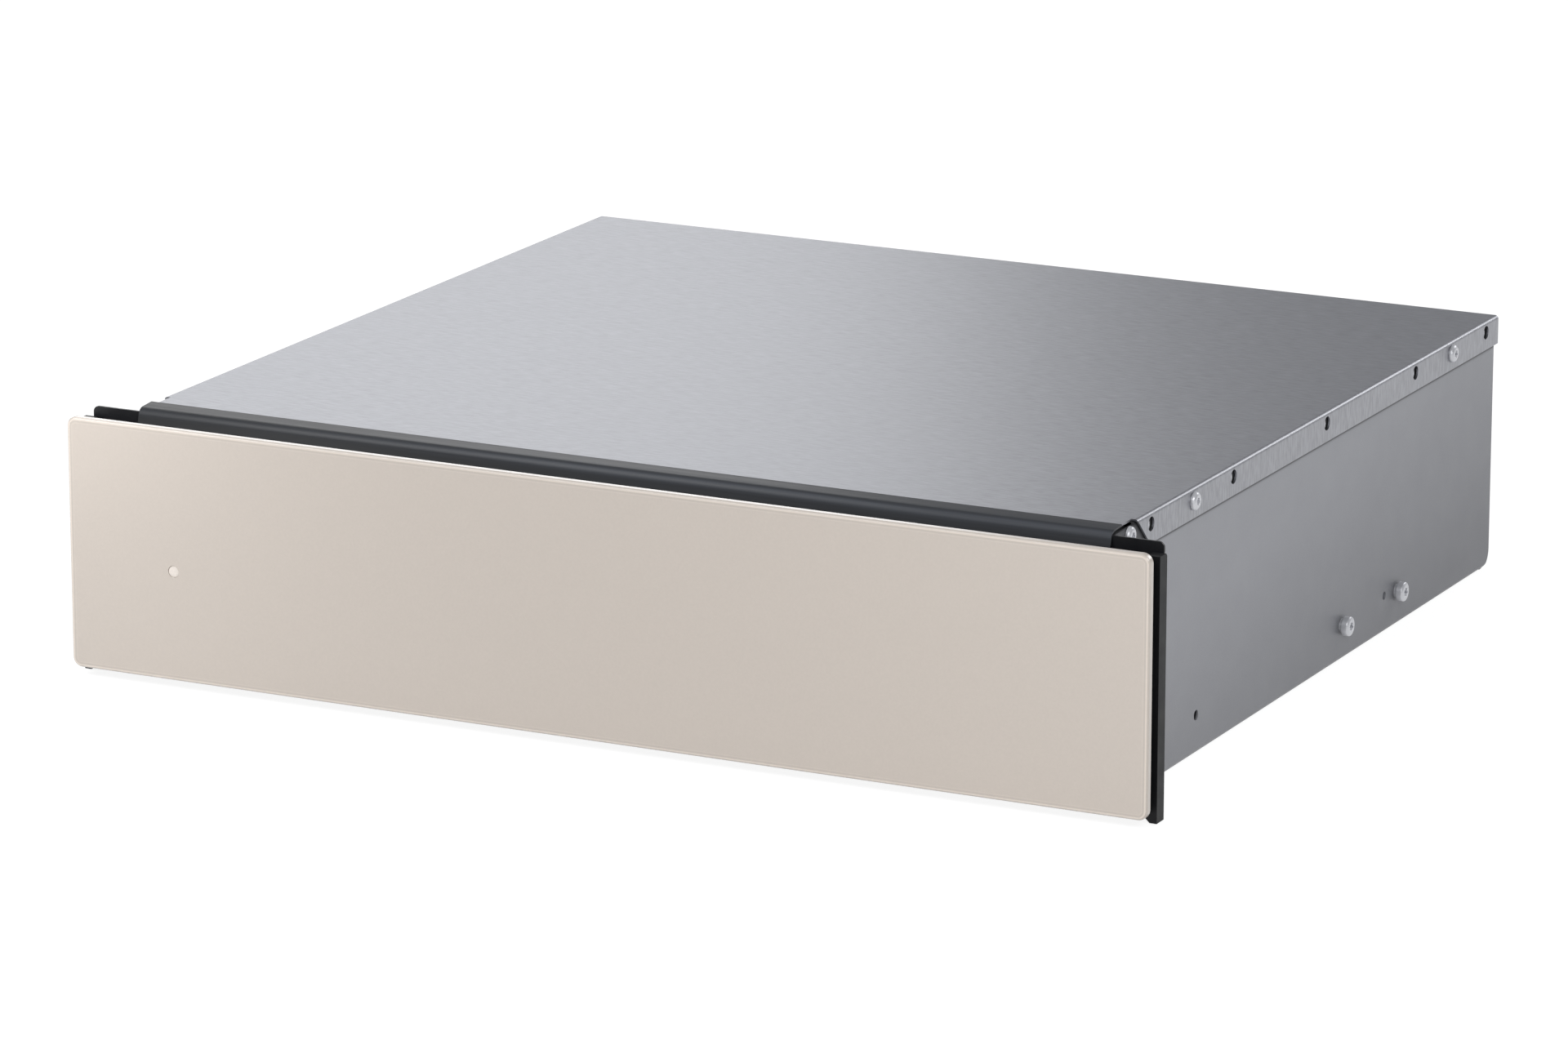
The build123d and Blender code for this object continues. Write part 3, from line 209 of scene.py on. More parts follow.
# ---------------------------------------------------------------- materials
ALONG_X = (0.02, 1, 1)                    # stretch of a texture into hairlines along X


def brushed(name, color, roughness, depth, contrast):
    """Sheet brushed along X: hairlines in colour, roughness and height, with a few longer streaks."""
    shader = Shader(name, color, roughness, 1.0)
    fine = shader.noise(1700.0, 2.0, ALONG_X, 0.6)
    streak = shader.noise(420.0, 3.0, ALONG_X, 0.55)
    shader.vary_color(fine, tint(color, 1 - contrast), tint(color, 1 + contrast))
    shader.darken(streak, contrast)
    shader.vary_roughness(streak, roughness - 0.02, roughness + 0.02)
    shader.bump(fine, 0.22, depth)
    shader.bump(streak, 0.10, depth)
    return shader.material


def lid_metal(name, color, roughness):
    """The lid's brushed sheet: hairlines along X on top, upright ones on the folded side flanges."""
    shader = Shader(name, color, roughness, 1.0)
    x, _, _ = shader.axes()
    fold = 1.3 * MM
    on_side = shader.math("GREATER_THAN", shader.math("ABSOLUTE", x), lid_high[0] - fold)

    def grain(scale, detail, top, side):
        mix = shader.node("ShaderNodeMix", data_type="FLOAT")
        shader.link(on_side, mix.inputs["Factor"])
        shader.link(shader.noise(scale, detail, top, 0.6), mix.inputs["A"])
        shader.link(shader.noise(scale, detail, side, 0.6), mix.inputs["B"])
        return mix.outputs["Result"]

    hairline = grain(1700.0, 2.0, ALONG_X, (1, 0.9, 0.06))
    dash = grain(850.0, 3.0, (0.13, 1, 1), (1, 0.8, 0.16))
    shader.vary_color(hairline, tint(color, 0.97), tint(color, 1.11))
    shader.darken(dash, 0.24, 0.36, 0.64)
    shader.vary_roughness(dash, roughness - 0.03, roughness + 0.03)
    shader.bump(dash, 0.22, 0.00003)
    shader.bump(hairline, 0.15, 0.00002)
    return shader.material


def plain_metal(name, color, roughness, metallic=1.0, grain=1100.0, mottle=0.02, depth=0.000012):
    """Smooth sheet or plating: a fine speckle, faint soft scuffs and an even satin."""
    shader = Shader(name, color, roughness, metallic)
    shader.vary_color(shader.noise(2600.0, 1.0), tint(color, 1 - 2 * mottle), tint(color, 1 + 2 * mottle))
    shader.darken(shader.noise(18.0, 4.0), mottle)
    shader.vary_roughness(shader.noise(70.0, 3.0), roughness - 0.02, roughness + 0.02)
    shader.bump(shader.noise(grain, 2.0), 0.2, depth)
    return shader.material


def moulded(name, color, roughness, grain=1400.0, depth=0.00003, mottle=0.05, **sockets):
    """Moulded plastic, paint or rubber with a fine grain."""
    shader = Shader(name, color, roughness, 0.0, **sockets)
    shader.vary_color(shader.noise(900.0, 2.0), tint(color, 1 - mottle), tint(color, 1 + mottle))
    shader.vary_roughness(shader.noise(120.0, 3.0), roughness - 0.03, roughness + 0.04)
    shader.bump(shader.noise(grain, 2.0), 0.25, depth)
    return shader.material


def rolled_paint(name, color, roughness):
    """Satin paint on the rolled trim: streaks along X, painted shade darker towards the foot, on the flat top
    and at the left end, and a painted highlight band at the shoulder.
    """
    shader = Shader(name, color, roughness, 0.0, Specular_IOR_Level=0.35)
    streak = shader.noise(500.0, 3.0, ALONG_X, 0.6)
    shader.vary_color(streak, tint(color, 0.86), tint(color, 1.14))
    x, _, z = shader.axes()
    low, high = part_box("front_trim")
    height = shader.math("SUBTRACT", z, low[2])
    share = shader.math("MULTIPLY", height, 1 / (high[2] - low[2]))
    # painted shade and highlight by height: dark at the foot, brightest in a band at the shoulder, darker
    # again on the flat top
    shader.multiply_by(shader.ramp(
        share, (0.0, grey(0.12)), (0.3, grey(0.22)), (0.6, grey(0.45)), (0.72, grey(0.8)),
        (0.86, grey(1.0)), (0.93, grey(0.5)), (1.0, grey(0.38)),
    ))
    # painted shade: the left end is darker, fading out towards the middle
    beside = shader.math("SUBTRACT", x, low[0])
    along = shader.math("MULTIPLY", beside, 1 / (high[0] - low[0]))
    shader.darken(along, 0.55, 0.08, 0.45)
    shader.vary_roughness(streak, roughness - 0.04, roughness + 0.04)
    shader.bump(shader.noise(900.0, 2.0), 0.15, 0.00002)
    return shader.material


def painted_glass(name, color):
    """Glass painted behind: faint speckle, a painted highlight band along the polished edge, and the paint's
    border line inside it.
    """
    shader = Shader(name, color, 0.34, 0.0, Coat_Weight=1.0, Coat_Roughness=0.24)
    speckle = shader.ramp(shader.noise(900.0, 2.0), (0.3, tint(color, 0.985)), (0.7, tint(color, 1.015)))
    # signed distance to the rounded outline, in metres, negative inside
    x, _, z = shader.axes()
    half_x = (glass_high[0] - glass_low[0]) / 2 - GLASS_CORNER
    half_z = (glass_high[2] - glass_low[2]) / 2 - GLASS_CORNER
    middle = (glass_high[2] + glass_low[2]) / 2
    across = shader.math("SUBTRACT", shader.math("ABSOLUTE", x), half_x)
    up = shader.math("ABSOLUTE", shader.math("SUBTRACT", z, middle))
    up = shader.math("SUBTRACT", up, half_z)
    corner_x = shader.math("POWER", shader.math("MAXIMUM", across, 0.0), 2.0)
    corner_z = shader.math("POWER", shader.math("MAXIMUM", up, 0.0), 2.0)
    outside = shader.math("SQRT", shader.math("ADD", corner_x, corner_z))
    inside = shader.math("MINIMUM", shader.math("MAXIMUM", across, up), 0.0)
    distance = shader.math("SUBTRACT", shader.math("ADD", outside, inside), GLASS_CORNER)
    rim = 4 * MM                          # the lines lie within this of the edge
    reach = shader.math("MULTIPLY", shader.math("ADD", distance, rim), 1 / rim)
    # the brightest stops make a painted highlight band along the polished edge, about 1 to 1.4 mm in
    face, dark, faint, edge_highlight = grey(0.80), grey(0.74), grey(0.87), grey(1.0)
    shader.link(speckle, shader.bsdf.inputs["Base Color"])
    shader.multiply_by(shader.ramp(
        reach, (0.20, face), (0.27, faint), (0.34, face), (0.50, dark), (0.57, face), (0.64, edge_highlight),
        (0.76, edge_highlight), (0.82, face), (0.98, dark),
    ))
    return shader.material


materials = {
    "galvanised": plain_metal("galvanised sheet", srgb(146, 147, 152), 0.45, metallic=0.3),
    "brushed_lid": lid_metal("brushed lid", srgb(160, 161, 166), 0.42),
    "screw_steel": plain_metal("screw steel", srgb(206, 207, 211), 0.40, metallic=0.6),
    "black_paint": moulded("black paint", srgb(17, 18, 22), 0.40),
    "anthracite": rolled_paint("anthracite paint", srgb(68, 71, 77), 0.46),
    "zinc_rail": plain_metal("zinc plating", srgb(176, 178, 183), 0.30),
    "cage_plastic": moulded("cage plastic", srgb(150, 152, 156), 0.5),
    "black_plastic": moulded("black plastic", srgb(11, 12, 15), 0.5, Specular_IOR_Level=0.25),
    "circuit_board": moulded("circuit board", srgb(28, 84, 58), 0.4),
    "insulation": moulded("mineral wool", srgb(206, 200, 182), 0.95, grain=500.0, depth=0.0012, mottle=0.2),
    "tray_steel": brushed("tray steel", srgb(214, 215, 219), 0.34, 0.00002, 0.06),
    "mat_rubber": moulded("silicone mat", srgb(42, 43, 46), 0.75, grain=700.0, depth=0.0002),
    "heater_sheath": plain_metal("heater sheath", srgb(92, 88, 82), 0.5, mottle=0.1),
    "fan_aluminium": plain_metal("fan aluminium", srgb(186, 188, 192), 0.33),
    "motor_iron": plain_metal("motor laminations", srgb(104, 104, 108), 0.5, grain=1600.0),
    "control_plastic": moulded("control plastic", srgb(218, 214, 202), 0.5),
    "fascia_black": moulded("fascia plastic", srgb(34, 35, 38), 0.3),
    "knob_plastic": moulded("knob plastic", srgb(70, 71, 75), 0.33),
    "button_plastic": moulded("button plastic", srgb(78, 79, 83), 0.36),
    "latch_plastic": moulded("latch plastic", srgb(196, 197, 200), 0.45),
    "lens": moulded("lens", srgb(228, 219, 210), 0.22, depth=0.000005, Coat_Weight=0.5),
    "painted_glass": painted_glass("painted glass", tint(srgb(199, 189, 179), 1.25)),
}


def shadowed_wall(name, color, roughness):
    """The casing's sheet: a painted shadow line under the lid's side flanges, and painted shade darker
    towards the back and the floor.
    """
    shader = Shader(name, color, roughness, 0.2)
    shader.vary_color(shader.noise(2600.0, 1.0), tint(color, 0.96), tint(color, 1.04))
    shader.darken(shader.noise(18.0, 4.0), 0.02)
    _, y, z = shader.axes()
    # painted shadow: a dark band just under the lid's side flanges
    shadow_band = 4.0 * MM
    below = shader.math("SUBTRACT", lid_low[2], z)
    span = shader.math("MULTIPLY", below, 1 / shadow_band)
    shader.multiply_by(
        shader.ramp(span, (0.0, grey(0.22)), (0.44, grey(0.28)), (0.58, grey(0.86)), (0.8, grey(1.0)))
    )
    # painted shade: darker towards the back and the floor
    behind = shader.math("SUBTRACT", y, lid_low[1])
    back = shader.math("MULTIPLY", behind, 0.4 / (lid_high[1] - lid_low[1]))
    foot = shader.math("MULTIPLY", below, 0.6 / lid_low[2])
    shader.darken(shader.math("ADD", back, foot), 0.36, 0.9, 0.3)
    shader.vary_roughness(shader.noise(70.0, 3.0), roughness - 0.02, roughness + 0.02)
    shader.bump(shader.noise(1100.0, 2.0), 0.2, 0.000012)
    return shader.material


slot_of = {part["node"]: part["material_slot"] for part in frame["record"]["subparts"]}
body_of = {name: body for body, names in frame["record"]["behaviour"]["bodies"].items() for name in names}
finish = {name: materials[slot_of[name]] for name in nodes}
finish["casing_base"] = shadowed_wall("casing sheet", srgb(155, 156, 161), 0.48)
for name, obj in nodes.items():
    for index in range(len(obj.material_slots)):
        obj.material_slots[index].material = finish[name]


# ---------------------------------------------------------------- pieces made from meshes
def finished(bm, name, material, body, smooth):
    """Turn a bmesh into an object that moves with a body, with smooth faces up to an angle."""
    bmesh.ops.recalc_face_normals(bm, faces=bm.faces)
    mesh = bpy.data.meshes.new(name)
    bm.to_mesh(mesh)
    bm.free()
    for polygon in mesh.polygons:
        polygon.use_smooth = True
    mesh.set_sharp_from_angle(angle=smooth)
    mesh.materials.append(material)
    made = bpy.data.objects.new(name, mesh)
    bpy.context.collection.objects.link(made)
    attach(made, body)
    return made


def piece(bm, node, suffix, smooth=radians(32)):
    """Finish a mesh as a piece that stands for a CAD node, with its material, body and slot."""
    made = finished(bm, f"{node}.{suffix}", finish[node], body_of[node], smooth)
    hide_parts(node)
    return made


def loose_piece(bm, name, body, slot, smooth=radians(32)):
    """Finish a mesh as a piece of its own, which stands for no CAD node."""
    return finished(bm, name, materials[slot], body, smooth)


def on_fold(co, high):
    """True on the long top edges of a lid with this highest corner, where its sheet is folded down."""
    at_side = abs(abs(co.x) - high[0]) < 0.01 * MM
    at_end = abs(co.y - high[1]) < 0.01 * MM
    return (at_side or at_end) and abs(co.z - high[2]) < 0.01 * MM


def soften(node, radius, least=28, even=True, fold=0.0):
    """The node's own shape with its sharp edges rounded, as folded, cast or moulded edges are."""
    bm = bmesh.new()
    bm.from_mesh(nodes[node].data)
    bmesh.ops.remove_doubles(bm, verts=bm.verts, dist=0.002 * MM)
    bmesh.ops.dissolve_limit(bm, angle_limit=radians(0.3), verts=bm.verts, edges=bm.edges)
    if fold:
        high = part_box(node)[1]
        folded = [edge for edge in bm.edges if all(on_fold(vert.co, high) for vert in edge.verts)]
        bmesh.ops.bevel(bm, geom=folded, offset=fold, segments=4, profile=0.5, affect="EDGES")
    sharp = [edge for edge in bm.edges if edge.is_manifold and edge.calc_face_angle(0.0) > radians(least)]
    bmesh.ops.bevel(
        bm, geom=sharp, offset=radius, offset_type="OFFSET", segments=2, profile=0.5,
        affect="EDGES", clamp_overlap=True,
    )
    made = piece(bm, node, "edged", radians(50))
    if not even:
        return made
    normals = made.modifiers.new("even normals", "WEIGHTED_NORMAL")
    normals.mode = "FACE_AREA"
    normals.keep_sharp = True
    return made


def islands(node):
    """Lowest and highest corner of each separate solid of a node."""
    bm = bmesh.new()
    bm.from_mesh(nodes[node].data)
    bmesh.ops.remove_doubles(bm, verts=bm.verts, dist=0.002 * MM)
    left = set(bm.verts)
    boxes = []
    while left:
        group = [left.pop()]
        for vert in group:
            for edge in vert.link_edges:
                other = edge.other_vert(vert)
                if other in left:
                    left.remove(other)
                    group.append(other)
        low = [min(v.co[i] for v in group) for i in range(3)]
        high = [max(v.co[i] for v in group) for i in range(3)]
        boxes.append((low, high))
    bm.free()
    return sorted(boxes)


SCREW_SIDES, KNOB_SIDES, TUBE_SIDES = 72, 144, 24


def ring(bm, place, along, reach, radius, lobes=0.0, count=6, sides=SCREW_SIDES):
    """A loop of points round an axis; lobes swells it at count places, as in a six-lobed recess."""
    across = along.orthogonal().normalized()
    third = along.cross(across)
    loop = []
    for step in range(sides):
        angle = 2 * pi * step / sides
        size = radius + lobes * cos(count * angle)
        outward = across * cos(angle) + third * sin(angle)
        loop.append(bm.verts.new(place + along * reach + outward * size))
    return loop


def bridge(bm, rings):
    """Faces between loops that follow each other, closed at both ends."""
    for one, two in zip(rings, rings[1:]):
        for step in range(len(one)):
            after = (step + 1) % len(one)
            bm.faces.new((one[step], one[after], two[after], two[step]))
    bm.faces.new(rings[0])
    bm.faces.new(rings[-1])


def fastener(bm, place, along, outline, top, recess, depth):
    """A turned screw: outline is (reach, radius) points up to its top, which holds a six-lobed recess."""
    rings = [ring(bm, place, along, reach * MM, radius * MM) for reach, radius in outline]
    rings.append(ring(bm, place, along, top * MM, (recess + 0.55) * MM))
    rings.append(ring(bm, place, along, (top - 0.02) * MM, (recess + 0.12) * MM, 0.17 * recess * MM))
    rings.append(ring(bm, place, along, (top - 0.15) * MM, recess * MM, 0.16 * recess * MM))
    rings.append(ring(bm, place, along, (top - depth) * MM, recess * MM * 0.97, 0.15 * recess * MM))
    bridge(bm, rings)


def dome(radius, low, top, flat, steps=6):
    """(reach, radius) points of a pan head's rounded shoulder, from its rim up to a flat top."""
    points = []
    for step in range(steps + 1):
        angle = pi / 2 * step / steps
        points.append((low + (top - low) * sin(angle), flat + (radius - flat) * cos(angle)))
    return points


# ---------------------------------------------------------------- edges of the sheet, cast and moulded pieces
EDGES = {
    0.45: ("front_flange", "control_fascia", "latch_housing", "terminal_box", "thermostat"),
    0.35: ("drawer_chassis", "cavity_ceiling", "rear_panel", "latch_striker"),
    0.60: ("front_carrier", "power_button", "latch_plunger", "thermal_cutout"),
    0.20: ("cable_gland", "fan_motor", "fan_wheel", "control_board", "indicator_board", "knob_spindle"),
    0.25: ("casing_base", "outer_rail_left", "outer_rail_right", "mid_rail_left", "mid_rail_right",
           "inner_rail_left", "inner_rail_right", "fan_housing", "fan_grille", "drawer_tray"),
}
for radius, names in EDGES.items():
    for name in names:
        soften(name, radius * MM)
soften("front_glass", 0.25 * MM)
soften("top_cover", 0.2 * MM, fold=0.7 * MM)
soften("front_trim", 0.2 * MM, least=62, even=False)


# ---------------------------------------------------------------- screws
HEAD_RISE = 2.5                # of the side screws, in mm
GUIDE_SHANK, GUIDE_NECK, GUIDE_COLLAR = 2.4, 1.5, 4.0
BOSS_RISE = 2.0


def screw_group(node, along_y, profile):
    """Each screw of a node, turned with a six-lobed recess; profile makes its outline from its length."""
    bm = bmesh.new()
    for low, high in islands(node):
        middle = [(a + b) / 2 for a, b in zip(low, high)]
        axis = 1 if along_y else 0
        outward = 1.0 if along_y or middle[0] > 0 else -1.0
        along = Vector((0.0, 1.0, 0.0)) if along_y else Vector((outward, 0.0, 0.0))
        foot = Vector(middle)
        foot[axis] = low[axis] if outward > 0 else high[axis]
        length = (high[axis] - low[axis]) / MM
        outline, top, recess, depth = profile(length)
        fastener(bm, foot, along, outline, top, recess, depth)
    piece(bm, node, "turned")


def pan(radius, shank, rise, recess):
    """The outline of a pan head on a plain shank, as a function of the whole length."""
    def outline(length):
        seat = length - rise
        rim = [(0.0, shank * 0.8), (0.4, shank), (seat, shank), (seat, radius - 0.25), (seat + 0.1, radius)]
        return rim + dome(radius, seat + 0.45, length, recess + 1.0), length, recess, 1.3
    return outline


def collared(length):
    """The outline of a guide screw: shank, neck, and a thick collar with a rounded rim."""
    neck = length - GUIDE_NECK - GUIDE_COLLAR
    collar = length - GUIDE_COLLAR
    outline = [
        (0.0, GUIDE_SHANK - 0.4), (0.4, GUIDE_SHANK), (neck, GUIDE_SHANK), (neck, 3.6), (collar, 3.6),
        (collar, 4.85), (collar + 0.25, 5.1),
    ]
    return outline + dome(5.1, length - 1.1, length, 3.2), length, 2.0, 1.8


def domed_lens(node, radius=3.0, sink=0.5):
    """The indicator's light guide: a low dome in the glass, over a collar behind it."""
    low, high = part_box(node)
    middle = Vector(((low[0] + high[0]) / 2, high[1], (low[2] + high[2]) / 2))
    length = (high[1] - low[1]) / MM
    back = [(0.0, 4.3), (0.0, 4.5), (length - 4.0, 4.5), (length - 4.0, radius)]
    points = back + dome(radius, length - sink, length, 0.0, 10)[:-1]
    bm = bmesh.new()
    rings = [ring(bm, middle, Vector((0.0, -1.0, 0.0)), reach * MM, size * MM) for reach, size in points]
    bridge(bm, rings)
    piece(bm, node, "domed")


domed_lens("indicator_lens")
screw_group("lid_screws", False, pan(4.65, 2.0, HEAD_RISE, 1.75))
screw_group("front_screws", False, pan(4.65, 2.0, HEAD_RISE, 1.75))
screw_group("guide_screws", False, collared)
screw_group("carrier_screws", True, pan(3.39, 1.45, BOSS_RISE, 1.3))


def flange_holes():
    """Middle and radius of each round hole in the lid's right flange, read from its own mesh."""
    face = [v.co for v in nodes["top_cover"].data.vertices if abs(v.co.x - lid_high[0]) < 0.01 * MM]
    foot, bend = lid_low[2] + MM, lid_high[2] - 3.2 * MM
    inner = sorted((co for co in face if foot < co.z < bend), key=lambda co: co.y)
    groups = [[inner[0]]]
    for co in inner[1:]:
        if co.y - groups[-1][-1].y > 4 * MM:
            groups.append([])
        groups[-1].append(co)
    holes = []
    for group in groups:
        span = group[-1].y - group[0].y
        if len(group) > 7 and 3 * MM < span < 8 * MM:
            heights = [co.z for co in group]
            holes.append(((group[0].y + group[-1].y) / 2, (min(heights) + max(heights)) / 2, span / 2))
    return holes


def locating_dimples():
    """Bright pressed dimples of the wall that show in the front part of each hole of the lid's flanges."""
    bm = bmesh.new()
    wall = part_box("casing_base")[1][0] / MM
    for y, z, radius in flange_holes():
        reach = radius / MM
        shares = ((0.0, 0.95), (0.25, 0.93), (0.6, 0.75), (0.8, 0.45))
        profile = [(rise, reach * share) for rise, share in shares] + [(0.82, 0.3)]
        for side in (-1.0, 1.0):
            place = Vector((side * wall * MM, y - reach * 0.42 * MM, z))
            outward = Vector((side, 0.0, 0.0))
            bridge(bm, [ring(bm, place, outward, rise * MM, size * MM) for rise, size in profile])
    loose_piece(bm, "lid_dimples", "casing", "screw_steel")


# ---------------------------------------------------------------- knob and heater
UP = Vector((0.0, 0.0, 1.0))
POINTER_RISE, KNOB_FLUTES = 0.5, 24


def soft_bar(bm, low, high, edge):
    """A box with rounded edges between two corners."""
    made = bmesh.ops.create_cube(bm, size=1.0)["verts"]
    for vert in made:
        vert.co = Vector([low[i] if vert.co[i] < 0 else high[i] for i in range(3)])
    edges = {e for vert in made for e in vert.link_edges}
    bmesh.ops.bevel(
        bm, geom=list(edges), offset=edge, segments=3, profile=0.5, affect="EDGES", clamp_overlap=True,
    )


def fluted_knob(node):
    """A knob with a plain skirt, a fluted grip and a shallow dish on top, and a pale pointer let into it."""
    low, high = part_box(node)
    radius = (high[0] - low[0]) / 2 / MM
    foot = Vector(((low[0] + high[0]) / 2, (low[1] + high[1]) / 2, low[2]))
    height = (high[2] - low[2]) / MM - POINTER_RISE
    profile = [
        (0.0, radius - 0.4, 0.0), (0.3, radius, 0.0), (2.0, radius, 0.0), (2.4, radius - 0.4, 0.0),
        (2.5, radius - 1.6, 0.0), (3.2, radius - 2.0, 0.28), (height - 2.0, radius - 2.5, 0.28),
        (height - 0.9, radius - 3.0, 0.16), (height - 0.2, radius - 3.8, 0.0), (height, radius - 4.6, 0.0),
        (height, radius - 5.2, 0.0), (height - 0.35, radius - 6.2, 0.0), (height - 0.4, 0.4, 0.0),
    ]
    bm = bmesh.new()
    rings = [
        ring(bm, foot, UP, reach * MM, size * MM, lobes * MM, KNOB_FLUTES, KNOB_SIDES)
        for reach, size, lobes in profile
    ]
    bridge(bm, rings)
    piece(bm, node, "fluted", radians(40))
    bm = bmesh.new()
    tip, tail = (radius - 3.4) * MM, 4.0 * MM
    top = foot.z + height * MM
    half = 0.7 * MM
    bar_low = (foot.x - half, foot.y - tip, top - 1.2 * MM)
    bar_high = (foot.x + half, foot.y - tail, top + 0.35 * MM)
    soft_bar(bm, bar_low, bar_high, 0.3 * MM)
    loose_piece(bm, "knob_pointer", body_of[node], "latch_plastic")


def heater_tube(node, radius, opening):
    """The ring heater as one bent tube with two legs; radius in mm, opening between the legs in degrees."""
    low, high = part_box(node)
    middle_x = (low[0] + high[0]) / 2
    ring_y = low[1] + radius * MM
    size = (high[0] - low[0]) / 2 - radius * MM
    centre_z = low[2] + radius * MM + size
    points = []
    steps = 96
    for step in range(steps + 1):
        angle = radians(90 + opening / 2 + (360 - opening) * step / steps)
        points.append(Vector((middle_x + size * cos(angle), ring_y, centre_z + size * sin(angle))))
    turn = 4 * MM
    lead_in = [points[0] + Vector((0.0, reach, 0.0)) for reach in (high[1] - ring_y, turn, turn * 0.4)]
    lead_out = [points[-1] + Vector((0.0, reach, 0.0)) for reach in (turn * 0.4, turn, high[1] - ring_y)]
    path = lead_in + points + lead_out
    bm = bmesh.new()
    loops = []
    for index, place in enumerate(path):
        before = path[max(index - 1, 0)]
        after = path[min(index + 1, len(path) - 1)]
        along = (after - before).normalized()
        inward = (place - Vector((middle_x, place.y, centre_z))).normalized()
        side = along.cross(inward).normalized()
        inward = side.cross(along)
        loops.append([
            bm.verts.new(place + (inward * cos(turned) + side * sin(turned)) * radius * MM)
            for turned in (2 * pi * step / TUBE_SIDES for step in range(TUBE_SIDES))
        ])
    bridge(bm, loops)
    piece(bm, node, "bent", radians(60))


def dial_marks(marks=10, sweep=270, width=0.9, length=2.2, rise=0.12):
    """Plain ticks round the knob's dish, longer as the heat rises, where the fascia has room for them."""
    low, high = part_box("temperature_knob")
    face_low, face_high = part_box("control_fascia")
    x, y = (low[0] + high[0]) / 2, (low[1] + high[1]) / 2
    inner = (high[0] - low[0]) / 2 + 4.2 * MM
    bm = bmesh.new()
    for index in range(marks):
        turn = radians(sweep) * index / (marks - 1)
        away = Vector((-sin(turn), -cos(turn), 0.0))
        reach = (length + index * 0.22) * MM
        tip = y + away.y * (inner + reach)
        if not face_low[1] + 2 * MM < tip < face_high[1] - 2 * MM:
            continue
        made = bmesh.ops.create_cube(bm, size=1.0)["verts"]
        across = Vector((-away.y, away.x, 0.0))
        for vert in made:
            out = inner + (reach if vert.co.x > 0 else 0.0)
            aside = width * MM * (0.5 if vert.co.y > 0 else -0.5)
            height = face_high[2] + (rise * MM if vert.co.z > 0 else -0.3 * MM)
            vert.co = Vector((x, y, 0.0)) + away * out + across * aside + UP * height
        edges = {edge for vert in made for edge in vert.link_edges}
        bmesh.ops.bevel(bm, geom=list(edges), offset=0.05 * MM, segments=2, profile=0.5, affect="EDGES")
    loose_piece(bm, "dial_marks", "drawer", "latch_plastic")


locating_dimples()
dial_marks()
fluted_knob("temperature_knob")
heater_tube("ring_heater", radius=3.2, opening=40)


# ---------------------------------------------------------------- mat and insulation
def rounded_outline(half_x, low_y, high_y, corner, steps=10):
    """Points of a rounded rectangle in plan, anticlockwise."""
    points = []
    for quarter, (x, y) in enumerate((
        (half_x - corner, high_y - corner), (corner - half_x, high_y - corner),
        (corner - half_x, low_y + corner), (half_x - corner, low_y + corner),
    )):
        for step in range(steps + 1):
            angle = pi / 2 * (quarter + step / steps)
            points.append((x + corner * cos(angle), y + corner * sin(angle)))
    return points


MAT_CORNER, PAD_CORNER = 16 * MM, 22 * MM


def ribbed_mat(node, ribs=58, rise=0.8):
    """A silicone mat: a thin sheet with a rounded rim and low ribs from side to side."""
    low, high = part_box(node)
    rise *= MM
    base, rim = low[2], high[2] - rise
    bm = bmesh.new()
    loops = []
    for inset, height in ((0.4, 0.0), (0.0, 0.4), (0.0, 1.0), (0.4, 1.2)):
        points = rounded_outline(high[0] - inset * MM, low[1] + inset * MM, high[1] - inset * MM, MAT_CORNER)
        level = min(base + height * MM, rim)
        loops.append([bm.verts.new((x, y, level)) for x, y in points])
    for one, two in zip(loops, loops[1:]):
        for step in range(len(one)):
            after = (step + 1) % len(one)
            bm.faces.new((one[step], one[after], two[after], two[step]))
    bm.faces.new(loops[0])
    bm.faces.new(loops[-1])
    margin = 9 * MM
    pitch = (high[1] - low[1] - 2 * margin) / (ribs - 1)
    for index in range(ribs):
        y = low[1] + margin + index * pitch
        half = high[0] - margin - (4 * MM if index in (0, ribs - 1) else 0.0)
        profile = [(pitch * 0.28 * cos(pi * step / 6), rise * sin(pi * step / 6)) for step in range(7)]
        ends = []
        for x in (-half, half):
            ends.append([bm.verts.new((x, y + dy, rim - 0.05 * MM + dz)) for dy, dz in profile])
        for step in range(6):
            bm.faces.new((ends[0][step], ends[0][step + 1], ends[1][step + 1], ends[1][step]))
        bm.faces.new(ends[0])
        bm.faces.new(ends[1])
        bm.faces.new((ends[0][0], ends[0][-1], ends[1][-1], ends[1][0]))
    piece(bm, node, "ribbed")


def wool_pad(node):
    """Mineral wool felt: a slab with a softly uneven top and rounded, drawn-in rim."""
    low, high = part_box(node)
    texture = bpy.data.textures.new("wool", "CLOUDS")
    texture.noise_scale = 0.03
    bm = bmesh.new()
    bmesh.ops.create_cube(bm, size=1.0)
    for vert in bm.verts:
        vert.co = Vector((
            low[0] if vert.co.x < 0 else high[0],
            low[1] if vert.co.y < 0 else high[1],
            low[2] if vert.co.z < 0 else high[2],
        ))
    upright = [edge for edge in bm.edges if abs(edge.verts[0].co.z - edge.verts[1].co.z) > MM]
    bmesh.ops.bevel(bm, geom=upright, offset=PAD_CORNER, segments=8, profile=0.5, affect="EDGES")
    rims = [edge for edge in bm.edges if abs(edge.verts[0].co.z - edge.verts[1].co.z) < 0.1 * MM]
    bmesh.ops.bevel(
        bm, geom=rims, offset=3 * MM, segments=4, profile=0.6, affect="EDGES", clamp_overlap=True,
    )
    made = piece(bm, node, "felt")
    remesh = made.modifiers.new("even mesh", "REMESH")
    remesh.mode = "VOXEL"
    remesh.voxel_size = 4 * MM
    uneven = made.modifiers.new("uneven", "DISPLACE")
    uneven.texture = texture
    uneven.strength = 1.2 * MM
    uneven.mid_level = 1.0


ribbed_mat("tray_mat")
wool_pad("insulation_pad")


